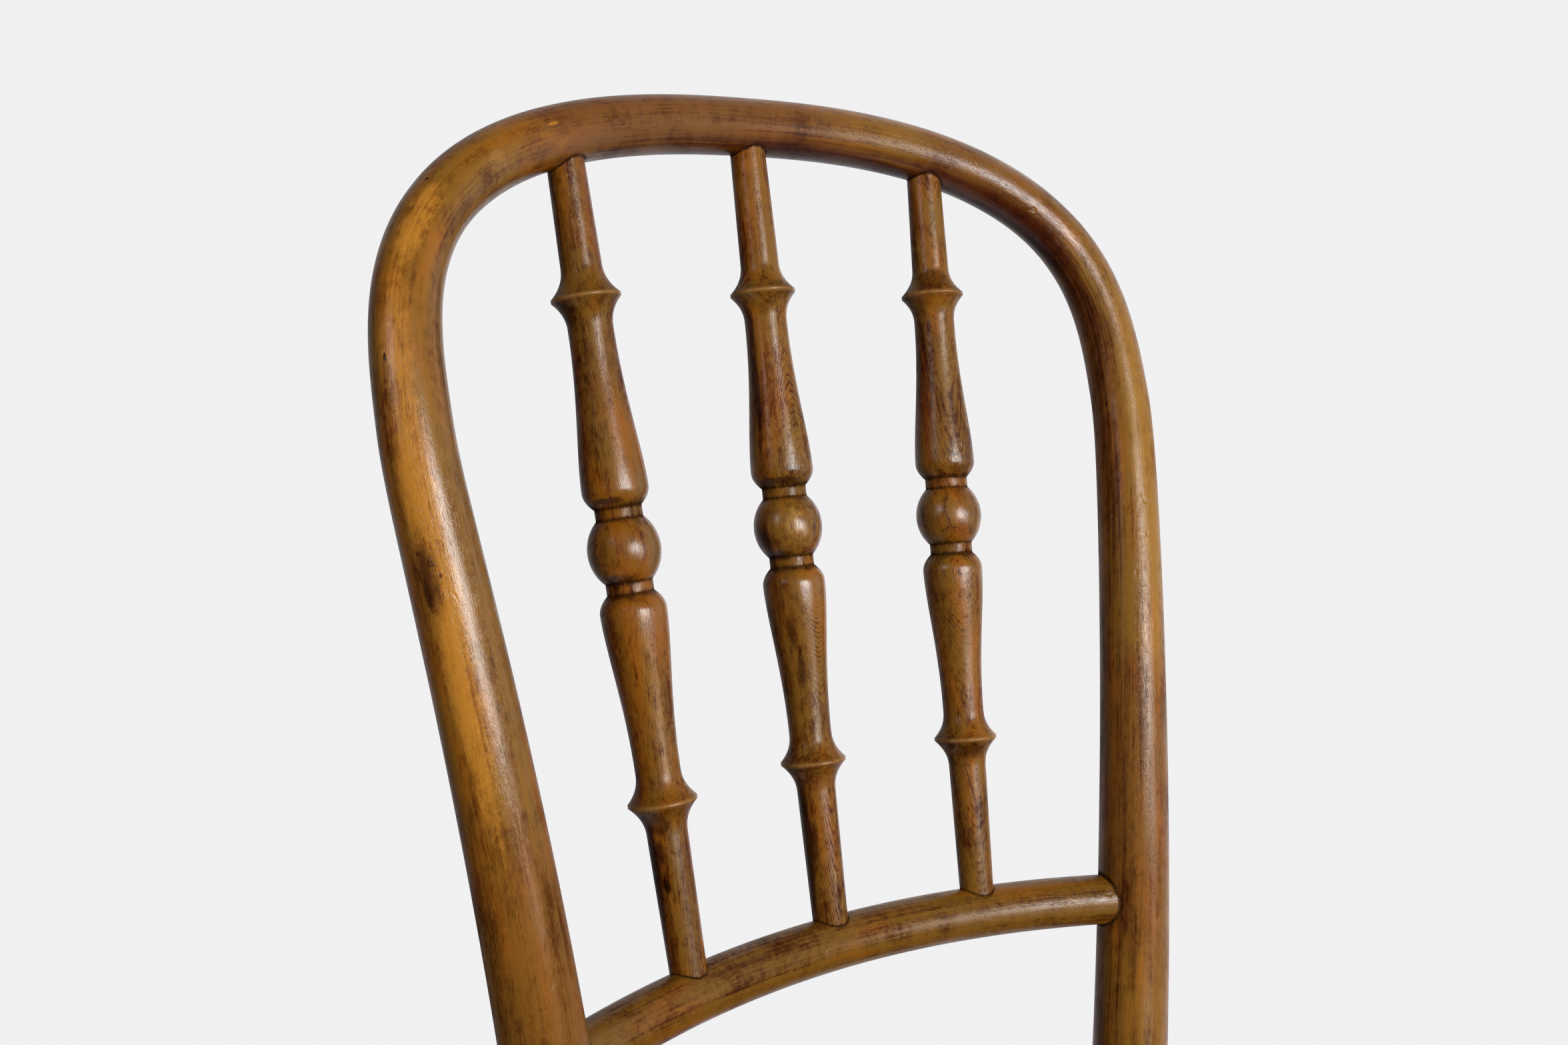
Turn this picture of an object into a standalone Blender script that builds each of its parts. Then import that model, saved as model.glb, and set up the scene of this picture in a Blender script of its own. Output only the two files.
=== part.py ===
"""Bentwood side chair: a round seat, four legs, a leg ring and a bowed back with three turned spindles.

Metres, +Z up. The chair stands on z = 0 and faces -Y, and +X is to the right seen from the front.
The back is laid out in its own leaning plane: x across, up along the plane from the level of the
spindles' balls, and back square to the plane, positive to the rear.
"""

from math import asin, cos, hypot, pi, radians, sin, sqrt

import bmesh
import bpy
from mathutils import Matrix, Vector

# Gaps, and how far cutters run past what they cut
FIT = 0.0003
OVERRUN = 0.020
MERGE_DISTANCE = 0.00001

# Back plane
BACK_LEAN = radians(11.0)
BALL_LEVEL = 0.7085
BALL_Y = 0.187

# Hoop outline, in the back plane
HOOP_HALF_WIDTH = 0.1768
HOOP_TOP = 0.1736
HOOP_SHOULDER = 0.0493
ARCH_SIDE_POWER = 2.35
ARCH_TOP_POWER = 2.98
POST_TAPER = 0.144
POST_KNEE = 0.021
POST_CURVE_RADIUS = 4.95

# Hoop seen from the side
HOOP_FORWARD = 0.0273
HOOP_SLOPE = 0.0453
HOOP_CURVE_RADIUS = 1.667
HOOP_BOW = 0.0165

# Facets
ROD_RESOLUTION = 4
LEG_RING_RESOLUTION = 3
LEG_RING_SIDES = 44
SEAT_SIDES = 48
LEG_SIDES = 16
SPINDLE_SIDES = 12
SCREW_SIDES = 12
BOLT_SIDES = 14
WASHER_SIDES = 16
HOLE_SIDES = 24
ROUNDING_STEPS = 4
VASE_STEPS = 5
COVE_STEPS = 4
EDGE_STEPS = 3

# Hoop rod
ROD_TOP_RADIUS = 0.01215
ROD_SEAT_RADIUS = 0.01725
ROD_FOOT_RADIUS = 0.0125
ROD_GROWS_BELOW = 0.130
ROD_GROWTH_POWER = 0.90
ARCH_STEPS = 22
POST_STEP = 0.026

# Rear legs, from the seat down
LEG_BEND_LENGTH = 0.200
REAR_LEG_SPLAY = 0.210
REAR_LEG_SWEEP = 0.330

# Lower back rail
RAIL_RADIUS = 0.0112
RAIL_BELOW_BALLS = 0.1857
RAIL_BOW = 0.0296
RAIL_RISE = 0.0097
RAIL_TENON = 0.012
RAIL_STEPS = 22

# Spindles: distances along the spindle from the middle of its ball
SPINDLE_SPACING_TOP = 0.0925
SPINDLE_SPACING_RAIL = 0.0760
BALL_OVER_RAIL = 0.1781
SPINDLE_TENON = 0.010
BALL_RADIUS = 0.0146
BALL_HALF_LENGTH = 0.0163
NECK_RADIUS = 0.0094
NECK_END = 0.0170
VASE_START = 0.0243
VASE_RADIUS = 0.0133
VASE_END = 0.0880
VASE_END_RADIUS = 0.0090
VASE_SKEW = 0.79
RING_DISTANCE = 0.1001
RING_RADIUS = 0.0139
RING_EDGE = 0.0011
COVE_POWER = 2.3
COVE_END = 0.1130
COVE_END_RADIUS = 0.0082
SPINDLE_END_RADIUS = 0.0074

# Seat
SEAT_TOP = 0.460
RIM_RADIUS = 0.203
RIM_WIDTH = 0.042
RIM_HEIGHT = 0.032
RIM_ROUND = 0.009
REBATE_WIDTH = 0.013
PANEL_THICKNESS = 0.005
PANEL_ROUND = 0.0015
POST_LET_IN = 0.006

# Front legs
FRONT_LEG_ANGLE = radians(47.0)
FRONT_LEG_SPREAD = 0.040
FRONT_LEG_TOP_RADIUS = 0.0165
FRONT_LEG_SWELL_RADIUS = 0.0180
FRONT_LEG_SWELL_BELOW = 0.075
FRONT_LEG_FOOT_RADIUS = 0.0125
FRONT_LEG_LET_IN = 0.002
FRONT_TENON_RADIUS = 0.0105
FRONT_TENON_LENGTH = 0.018

# Leg ring
LEG_RING_HEIGHT = 0.225
LEG_RING_ROD = 0.0095
LEG_RING_LET_IN = 0.003

# Seat bolts, with their washers and nuts
BOLT_RADIUS = 0.004
BOLT_HEAD_RADIUS = 0.0095
BOLT_HEAD_HEIGHT = 0.0048
BOLT_POINT = 0.002
WASHER_RADIUS = 0.009
WASHER_THICKNESS = 0.0016
NUT_ACROSS_FLATS = 0.013
NUT_THICKNESS = 0.0065
WASHER_SEAT_DEPTH = 0.001

# Screws that hold the leg ring
SCREW_HEAD_RADIUS = 0.0042
SCREW_HEAD_HEIGHT = 0.0026
SCREW_SHANK_RADIUS = 0.0021
SCREW_LENGTH = 0.030
SCREW_POINT = 0.005
SCREW_SLOT = 0.0010

RIM_BOTTOM = SEAT_TOP - RIM_HEIGHT
RIM_MIDDLE = SEAT_TOP - RIM_HEIGHT / 2
BEND_START = (RIM_MIDDLE - BALL_LEVEL) / cos(BACK_LEAN)
SIDES = {"left": -1, "right": 1}
SPINDLE_SPOTS = {"left": -1, "middle": 0, "right": 1}


def clear_scene():
    for found in list(bpy.data.objects):
        bpy.data.objects.remove(found, do_unlink=True)


def new_collection(name):
    made = bpy.data.collections.new(name)
    bpy.context.scene.collection.children.link(made)
    return made


def new_material(name, colour, roughness, metallic=0.0):
    made = bpy.data.materials.new(name)
    made.use_nodes = True
    shader = made.node_tree.nodes["Principled BSDF"]
    shader.inputs["Base Color"].default_value = (*colour, 1.0)
    shader.inputs["Roughness"].default_value = roughness
    shader.inputs["Metallic"].default_value = metallic
    made.diffuse_color = (*colour, 1.0)
    return made


clear_scene()
PARTS = new_collection("bentwood_chair")
CUTTERS = new_collection("cutters")
BENT_BEECH = new_material("bent_beech", (0.27, 0.13, 0.045), 0.35)
TURNED_BEECH = new_material("turned_beech", (0.21, 0.10, 0.035), 0.32)
SEAT_PLYWOOD = new_material("seat_plywood", (0.30, 0.15, 0.055), 0.40)
DARK_STEEL = new_material("dark_steel", (0.20, 0.19, 0.18), 0.45, 1.0)


def back_point(x, back, up):
    """World point of a place in the back plane's own measures."""
    y = BALL_Y + back * cos(BACK_LEAN) + up * sin(BACK_LEAN)
    z = BALL_LEVEL + up * cos(BACK_LEAN) - back * sin(BACK_LEAN)
    return Vector((x, y, z))


def hoop_back(x, up):
    """How far behind the back plane the hoop lies: bowed from side to side and curved along its posts."""
    held = max(up, BEND_START)
    curve = held * (2 * up - held) / (2 * HOOP_CURVE_RADIUS)
    return -HOOP_FORWARD + HOOP_SLOPE * up + curve + HOOP_BOW * (1 - (x / HOOP_HALF_WIDTH) ** 2)


def arch_up(x):
    """Height of the arch's centre line over the balls, at a distance from the middle."""
    share = (1 - (abs(x) / HOOP_HALF_WIDTH) ** ARCH_SIDE_POWER) ** (1 / ARCH_TOP_POWER)
    return HOOP_SHOULDER + (HOOP_TOP - HOOP_SHOULDER) * share


def leg_bend(below):
    """Sideways travel for a unit change of slope, which is spread over the bend's length."""
    if below <= 0:
        return 0.0
    if below < LEG_BEND_LENGTH:
        return below**2 / (2 * LEG_BEND_LENGTH)
    return below - LEG_BEND_LENGTH / 2


def post_point(up):
    """World point of the right post's centre line, which runs on below the seat as the rear leg."""
    drop = HOOP_SHOULDER - up
    curved = min(drop, HOOP_SHOULDER - BEND_START)
    bend = leg_bend(BEND_START - up)
    x = HOOP_HALF_WIDTH - POST_TAPER * (hypot(drop, POST_KNEE) - POST_KNEE)
    x += curved * (2 * drop - curved) / (2 * POST_CURVE_RADIUS)
    x += REAR_LEG_SPLAY * bend
    return back_point(x, hoop_back(x, up) + REAR_LEG_SWEEP * bend, up)


def post_up_at(height):
    """Where along the back plane the post's centre line passes a height over the floor."""
    low, high = -2 * BALL_LEVEL, HOOP_SHOULDER
    for _ in range(50):
        middle = (low + high) / 2
        if post_point(middle).z < height:
            low = middle
        else:
            high = middle
    return high


FOOT_UP = post_up_at(0.0)


def rod_radius(up):
    """The rod is thickest where it is bolted to the seat, and thinner over the arch and at the foot."""
    if up >= BEND_START:
        share = max(0.0, ROD_GROWS_BELOW - up) / (ROD_GROWS_BELOW - BEND_START)
        return ROD_TOP_RADIUS + (ROD_SEAT_RADIUS - ROD_TOP_RADIUS) * share**ROD_GROWTH_POWER
    share = (BEND_START - up) / (BEND_START - FOOT_UP)
    return ROD_SEAT_RADIUS + (ROD_FOOT_RADIUS - ROD_SEAT_RADIUS) * share


def mirrored(point):
    return Vector((-point.x, point.y, point.z))


def place(obj, collection, material=None):
    collection.objects.link(obj)
    if material:
        obj.data.materials.append(material)
    if collection is CUTTERS:
        obj.hide_render = True
        obj.display_type = "WIRE"
    return obj


def axis_matrix(start, towards):
    """Places an object's origin at start with its +Z pointing at towards."""
    turn = (towards - start).to_track_quat("Z", "Y").to_matrix().to_4x4()
    return Matrix.Translation(start) @ turn


def swept_rod(name, points, radii, resolution, collection, material=None, cyclic=False):
    """Round rod along a line of points, as a mesh that can be cut."""
    curve = bpy.data.curves.new(name, "CURVE")
    curve.dimensions = "3D"
    curve.bevel_depth = max(radii)
    curve.bevel_resolution = resolution
    curve.use_fill_caps = not cyclic
    spline = curve.splines.new("POLY")
    spline.points.add(len(points) - 1)
    spline.use_cyclic_u = cyclic
    for knot, point, radius in zip(spline.points, points, radii):
        knot.co = (*point, 1.0)
        knot.radius = radius / curve.bevel_depth
    rod = bpy.data.objects.new(name + "_curve", curve)
    bpy.context.scene.collection.objects.link(rod)
    graph = bpy.context.evaluated_depsgraph_get()
    mesh = bpy.data.meshes.new_from_object(rod.evaluated_get(graph))
    mesh.name = name
    bpy.data.objects.remove(rod, do_unlink=True)
    weld = bmesh.new()
    weld.from_mesh(mesh)
    bmesh.ops.remove_doubles(weld, verts=weld.verts, dist=MERGE_DISTANCE)
    weld.to_mesh(mesh)
    weld.free()
    mesh.shade_smooth()
    mesh.set_sharp_from_angle(angle=radians(40))
    mesh.materials.clear()
    return place(bpy.data.objects.new(name, mesh), collection, material)


def turned(name, profile, sides, matrix, collection, material=None, closed=False):
    """Solid of revolution: the profile is (distance along the axis, radius), from the top down."""
    mesh = bpy.data.meshes.new(name)
    edges = [(i, i + 1) for i in range(len(profile) - 1)]
    if closed:
        edges.append((len(profile) - 1, 0))
    mesh.from_pydata([(radius, 0.0, along) for along, radius in profile], edges, [])
    obj = place(bpy.data.objects.new(name, mesh), collection, material)
    obj.matrix_world = matrix
    screw = obj.modifiers.new("Turn", "SCREW")
    screw.axis = "Z"
    screw.steps = sides
    screw.render_steps = sides
    screw.use_merge_vertices = True
    screw.merge_threshold = MERGE_DISTANCE
    screw.use_smooth_shade = True
    return obj


def cylinder(name, radius, start, end, collection, material=None, sides=HOLE_SIDES):
    """Plain cylinder between two points."""
    length = (end - start).length
    shape = bmesh.new()
    bmesh.ops.create_cone(
        shape, cap_ends=True, segments=sides, radius1=radius, radius2=radius, depth=length
    )
    bmesh.ops.translate(shape, verts=shape.verts, vec=(0, 0, length / 2))
    mesh = bpy.data.meshes.new(name)
    shape.to_mesh(mesh)
    shape.free()
    obj = place(bpy.data.objects.new(name, mesh), collection, material)
    obj.matrix_world = axis_matrix(start, end)
    return obj


def box(name, size, matrix, collection):
    shape = bmesh.new()
    bmesh.ops.create_cube(shape, size=1.0)
    bmesh.ops.scale(shape, verts=shape.verts, vec=size)
    mesh = bpy.data.meshes.new(name)
    shape.to_mesh(mesh)
    shape.free()
    obj = place(bpy.data.objects.new(name, mesh), collection)
    obj.matrix_world = matrix
    return obj


def cut(target, cutter):
    boolean = target.modifiers.new(cutter.name, "BOOLEAN")
    boolean.operation = "DIFFERENCE"
    boolean.solver = "EXACT"
    boolean.object = cutter


def ease(share):
    """Runs from 0 to 1 with a level start and end."""
    return (1 - cos(pi * share)) / 2


def steps(count):
    return [i / count for i in range(1, count + 1)]


def arc(centre_along, centre_radius, radius, start, end, count):
    """Arc of a profile, with angles from the outward direction."""
    angles = [start + (end - start) * i / count for i in range(count + 1)]
    return [(centre_along + radius * sin(a), centre_radius + radius * cos(a)) for a in angles]


def hoop_line():
    """Centre line and radii of the whole rod, from the left foot over the arch to the right foot."""
    end = post_up_at(-OVERRUN)
    count = round((HOOP_SHOULDER - end) / POST_STEP)
    ups = [HOOP_SHOULDER + (end - HOOP_SHOULDER) * share for share in steps(count)]
    right = []
    for i in range(ARCH_STEPS + 1):
        angle = pi / 2 * i / ARCH_STEPS
        x = HOOP_HALF_WIDTH * sin(angle) ** (2 / ARCH_SIDE_POWER)
        up = HOOP_SHOULDER + (HOOP_TOP - HOOP_SHOULDER) * cos(angle) ** (2 / ARCH_TOP_POWER)
        right.append((back_point(x, hoop_back(x, up), up), rod_radius(up)))
    right += [(post_point(up), rod_radius(up)) for up in ups]
    left = [(mirrored(point), radius) for point, radius in reversed(right[1:])]
    return zip(*(left + right))


def back_hoop(cutters):
    points, radii = hoop_line()
    hoop = swept_rod("back_hoop", points, radii, ROD_RESOLUTION, PARTS, BENT_BEECH)
    for cutter in cutters:
        cut(hoop, cutter)


def rail_ends():
    """Half the rail's span between the posts' centre lines, and the x of its tenon's end."""
    post = post_point(-RAIL_BELOW_BALLS)
    return post.x, post.x - rod_radius(-RAIL_BELOW_BALLS) + RAIL_TENON


def rail_point(x):
    span, _ = rail_ends()
    rise = 1 - (x / span) ** 2
    back = hoop_back(span, -RAIL_BELOW_BALLS) + RAIL_BOW * rise
    return back_point(x, back, RAIL_RISE * rise - RAIL_BELOW_BALLS)


def rail_line(extra):
    _, end = rail_ends()
    end += extra
    return [rail_point(end * (2 * i / RAIL_STEPS - 1)) for i in range(RAIL_STEPS + 1)]


def lower_back_rail(cutters):
    points = rail_line(0.0)
    radii = [RAIL_RADIUS] * len(points)
    rail = swept_rod("lower_back_rail", points, radii, ROD_RESOLUTION, PARTS, BENT_BEECH)
    for cutter in cutters:
        cut(rail, cutter)


def rail_socket():
    points = rail_line(FIT)
    radii = [RAIL_RADIUS + FIT] * len(points)
    return swept_rod("rail_socket", points, radii, ROD_RESOLUTION, CUTTERS)


def spindle_half(end):
    """One half of a spindle's profile, from the middle of the ball out to its end."""
    half = []
    neck_start = BALL_HALF_LENGTH * sqrt(1 - (NECK_RADIUS / BALL_RADIUS) ** 2)
    ball_turn = asin(neck_start / BALL_HALF_LENGTH)
    for share in steps(ROUNDING_STEPS):
        angle = ball_turn * share
        half.append((BALL_HALF_LENGTH * sin(angle), BALL_RADIUS * cos(angle)))
    half.append((NECK_END, NECK_RADIUS))
    for share in steps(ROUNDING_STEPS):
        along = NECK_END + (VASE_START - NECK_END) * share
        half.append((along, VASE_RADIUS - (VASE_RADIUS - NECK_RADIUS) * (1 - share) ** 2))
    for share in steps(VASE_STEPS):
        along = VASE_START + (VASE_END - VASE_START) * share
        half.append((along, VASE_RADIUS + (VASE_END_RADIUS - VASE_RADIUS) * ease(share**VASE_SKEW)))
    ring_start = RING_DISTANCE - RING_EDGE / 2
    ring_end = ring_start + RING_EDGE
    for share in steps(COVE_STEPS):
        along = VASE_END + (ring_start - VASE_END) * share
        flare = share**COVE_POWER
        half.append((along, VASE_END_RADIUS + (RING_RADIUS - VASE_END_RADIUS) * flare))
    for share in [0.0, *steps(COVE_STEPS)]:
        along = ring_end + (COVE_END - ring_end) * share
        flare = (1 - share) ** COVE_POWER
        half.append((along, COVE_END_RADIUS + (RING_RADIUS - COVE_END_RADIUS) * flare))
    half.append((end, SPINDLE_END_RADIUS))
    return half


def spindle_axis(spot):
    """World points where a spindle's axis meets the centre lines of the hoop and the rail."""
    x_top = SPINDLE_SPACING_TOP * spot
    up = arch_up(x_top)
    return back_point(x_top, hoop_back(x_top, up), up), rail_point(SPINDLE_SPACING_RAIL * spot)


def spindle(name, spot):
    """Turned spindle and the cutters of its two sockets."""
    top, bottom = spindle_axis(spot)
    length = (top - bottom).length
    top_end = length - BALL_OVER_RAIL - ROD_TOP_RADIUS + SPINDLE_TENON
    bottom_end = BALL_OVER_RAIL - RAIL_RADIUS + SPINDLE_TENON
    upper = spindle_half(top_end)
    lower = [(-along, radius) for along, radius in spindle_half(bottom_end)]
    profile = [(top_end, 0.0), *reversed(upper), (0.0, BALL_RADIUS), *lower, (-bottom_end, 0.0)]
    up = (top - bottom).normalized()
    ball = bottom + up * BALL_OVER_RAIL
    turned(name, profile, SPINDLE_SIDES, axis_matrix(ball, top), PARTS, TURNED_BEECH)
    sockets = {}
    for place_name, end, inside in (("hoop", top_end, up), ("rail", -bottom_end, -up)):
        tip = ball + up * end + inside * FIT
        mouth = tip - inside * (SPINDLE_TENON + OVERRUN)
        radius = SPINDLE_END_RADIUS + FIT
        sockets[place_name] = cylinder(f"{name}_{place_name}_socket", radius, mouth, tip, CUTTERS)
    return sockets


def seat_centre():
    """The rim's centre, which puts both posts let into the back of the rim."""
    up = post_up_at(RIM_MIDDLE)
    post = post_point(up)
    reach = RIM_RADIUS + rod_radius(up) - POST_LET_IN
    return Vector((0.0, post.y - sqrt(reach**2 - post.x**2), 0.0))


def seat_rim(cutters):
    """Bent rim with a rebate round its inner top edge for the panel."""
    inner = RIM_RADIUS - RIM_WIDTH
    rebate = PANEL_THICKNESS + FIT
    middle = RIM_RADIUS - RIM_ROUND
    profile = [(SEAT_TOP, inner + REBATE_WIDTH)]
    profile += arc(SEAT_TOP - RIM_ROUND, middle, RIM_ROUND, pi / 2, 0.0, EDGE_STEPS)
    profile += arc(RIM_BOTTOM + RIM_ROUND, middle, RIM_ROUND, 0.0, -pi / 2, EDGE_STEPS)
    profile += [(RIM_BOTTOM, inner), (SEAT_TOP - rebate, inner)]
    profile += [(SEAT_TOP - rebate, inner + REBATE_WIDTH)]
    matrix = Matrix.Translation(seat_centre())
    rim = turned("seat_rim", profile, SEAT_SIDES, matrix, PARTS, BENT_BEECH, closed=True)
    for cutter in cutters:
        cut(rim, cutter)


def seat_panel():
    """Plywood disc that lies in the rim's rebate."""
    radius = RIM_RADIUS - RIM_WIDTH + REBATE_WIDTH - 2 * FIT
    bottom = SEAT_TOP - PANEL_THICKNESS
    profile = [(SEAT_TOP, 0.0)]
    middle = radius - PANEL_ROUND
    profile += arc(SEAT_TOP - PANEL_ROUND, middle, PANEL_ROUND, pi / 2, 0.0, EDGE_STEPS)
    profile += [(bottom, radius), (bottom, 0.0)]
    matrix = Matrix.Translation(seat_centre())
    turned("seat_panel", profile, SEAT_SIDES, matrix, PARTS, SEAT_PLYWOOD)


def rim_envelope():
    """The round space that the rim fills, cut from the posts where they are let in."""
    centre = seat_centre()
    low = centre + Vector((0, 0, RIM_BOTTOM - FIT))
    high = centre + Vector((0, 0, SEAT_TOP + FIT))
    return cylinder("rim_envelope", RIM_RADIUS + FIT, low, high, CUTTERS, sides=2 * SEAT_SIDES)


def below_floor():
    size = (3 * RIM_RADIUS, 4 * RIM_RADIUS, 4 * OVERRUN)
    return box("below_floor", size, Matrix.Translation((0, 0, -2 * OVERRUN)), CUTTERS)


def front_leg_axis(side):
    """World points of a front leg's axis at the rim's underside and on the floor."""
    outward = Vector((side * sin(FRONT_LEG_ANGLE), -cos(FRONT_LEG_ANGLE), 0.0))
    top = seat_centre() + outward * (RIM_RADIUS - RIM_WIDTH / 2) + Vector((0, 0, RIM_BOTTOM))
    foot = top + outward * FRONT_LEG_SPREAD
    foot.z = 0.0
    return top, foot


def front_leg_radius(below, length):
    """Radius of a front leg at a distance below its shoulder: it swells, then tapers to the foot."""
    if below < FRONT_LEG_SWELL_BELOW:
        swell = sin(pi / 2 * below / FRONT_LEG_SWELL_BELOW)
        return FRONT_LEG_TOP_RADIUS + (FRONT_LEG_SWELL_RADIUS - FRONT_LEG_TOP_RADIUS) * swell
    share = (below - FRONT_LEG_SWELL_BELOW) / (length - FRONT_LEG_SWELL_BELOW)
    taper = 1 - cos(pi / 2 * share)
    return FRONT_LEG_SWELL_RADIUS + (FRONT_LEG_FOOT_RADIUS - FRONT_LEG_SWELL_RADIUS) * taper


def front_leg(name, side, cutters):
    """Turned leg with a tenon, and the cutter of its stepped hole in the rim."""
    top, foot = front_leg_axis(side)
    up = (top - foot).normalized()
    length = (top - foot).length + FRONT_LEG_LET_IN
    shoulder = foot + up * length
    profile = [(FRONT_TENON_LENGTH, 0.0), (FRONT_TENON_LENGTH, FRONT_TENON_RADIUS)]
    profile += [(0.0, FRONT_TENON_RADIUS), (0.0, FRONT_LEG_TOP_RADIUS)]
    belows = [FRONT_LEG_SWELL_BELOW * share for share in steps(ROUNDING_STEPS)]
    taper = length - FRONT_LEG_SWELL_BELOW
    belows += [FRONT_LEG_SWELL_BELOW + taper * share for share in steps(2 * ROUNDING_STEPS)]
    profile += [(-below, front_leg_radius(below, length)) for below in belows]
    end = -length - OVERRUN / 2
    profile += [(end, FRONT_LEG_FOOT_RADIUS), (end, 0.0)]
    leg = turned(name, profile, LEG_SIDES, axis_matrix(shoulder, shoulder + up), PARTS, TURNED_BEECH)
    for cutter in cutters:
        cut(leg, cutter)


def front_leg_holes(name, side):
    """The recess for the leg's shoulder and the bore for its tenon."""
    top, foot = front_leg_axis(side)
    up = (top - foot).normalized()
    shoulder = top + up * FRONT_LEG_LET_IN
    recess = (name + "_recess", FRONT_LEG_TOP_RADIUS + FIT, shoulder + up * FIT)
    bore = (name + "_bore", FRONT_TENON_RADIUS + FIT, shoulder + up * (FRONT_TENON_LENGTH + FIT))
    mouth = top - up * OVERRUN
    return [cylinder(label, radius, mouth, end, CUTTERS) for label, radius, end in (recess, bore)]


def leg_places():
    """Where each leg's centre line passes the leg ring's height, with its radius there."""
    places = {}
    up = post_up_at(LEG_RING_HEIGHT)
    post = post_point(up)
    for word, side in SIDES.items():
        top, foot = front_leg_axis(side)
        point = foot.lerp(top, LEG_RING_HEIGHT / RIM_BOTTOM)
        length = (top - foot).length + FRONT_LEG_LET_IN
        below = length - (point - foot).length
        places["front_" + word] = (point, front_leg_radius(below, length))
        places["rear_" + word] = (Vector((side * post.x, post.y, post.z)), rod_radius(up))
    return places


def leg_ring_circle():
    """Centre and centre-line radius of the ring that bears on the inner sides of all four legs."""
    places = leg_places()
    front, front_radius = places["front_right"]
    rear, _ = places["rear_right"]
    y = (rear.x**2 + rear.y**2 - front.x**2 - front.y**2) / (2 * (rear.y - front.y))
    reach = hypot(front.x, front.y - y)
    centre = Vector((0.0, y, LEG_RING_HEIGHT))
    return centre, reach - front_radius - LEG_RING_ROD + LEG_RING_LET_IN


def leg_ring_rod(name, rod, collection, material=None):
    centre, radius = leg_ring_circle()
    turns = [2 * pi * i / LEG_RING_SIDES for i in range(LEG_RING_SIDES)]
    points = [centre + radius * Vector((sin(turn), cos(turn), 0.0)) for turn in turns]
    radii = [rod] * len(points)
    return swept_rod(name, points, radii, LEG_RING_RESOLUTION, collection, material, cyclic=True)


def leg_ring(cutters):
    ring = leg_ring_rod("leg_ring", LEG_RING_ROD, PARTS, BENT_BEECH)
    for cutter in cutters:
        cut(ring, cutter)


def screw_profile(gap):
    """Wood screw, point down, with its countersunk head's face at the origin. A gap makes its hole."""
    head = SCREW_HEAD_RADIUS + gap
    shank = SCREW_SHANK_RADIUS + gap
    end = -SCREW_LENGTH - gap
    mouth = [(OVERRUN, 0.0), (OVERRUN, head)] if gap else [(0.0, 0.0)]
    sides = [(0.0, head), (-SCREW_HEAD_HEIGHT - gap, shank), (end + SCREW_POINT, shank)]
    return [*mouth, *sides, (end, 0.0)]


def leg_ring_screw(word, leg):
    """Screw from the ring's inner side into a leg, and the cutter of its hole."""
    centre, radius = leg_ring_circle()
    outward = leg - centre
    outward.z = 0.0
    outward.normalize()
    face = centre + outward * (radius - LEG_RING_ROD + SCREW_HEAD_RADIUS**2 / (2 * LEG_RING_ROD))
    matrix = axis_matrix(face, face - outward)
    name = f"leg_ring_screw_{word}"
    screw = turned(name, screw_profile(0.0), SCREW_SIDES, matrix, PARTS, DARK_STEEL)
    size = (4 * SCREW_HEAD_RADIUS, SCREW_SLOT, SCREW_SLOT)
    cut(screw, box(name + "_slot", size, matrix, CUTTERS))
    return turned(name + "_hole", screw_profile(FIT), SCREW_SIDES, matrix, CUTTERS)


def bolt_line(side):
    """Inward direction of a seat bolt, its head's seat on the post and its washer's seat in the rim."""
    up = post_up_at(RIM_MIDDLE)
    post = post_point(up)
    post.x *= side
    centre = seat_centre() + Vector((0, 0, RIM_MIDDLE))
    inward = (centre - post).normalized()
    radius = rod_radius(up)
    sunk = radius - sqrt(radius**2 - BOLT_HEAD_RADIUS**2)
    head_seat = post - inward * (radius - sunk - FIT)
    washer_seat = centre - inward * (RIM_RADIUS - RIM_WIDTH + WASHER_SEAT_DEPTH)
    return inward, head_seat, washer_seat


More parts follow.
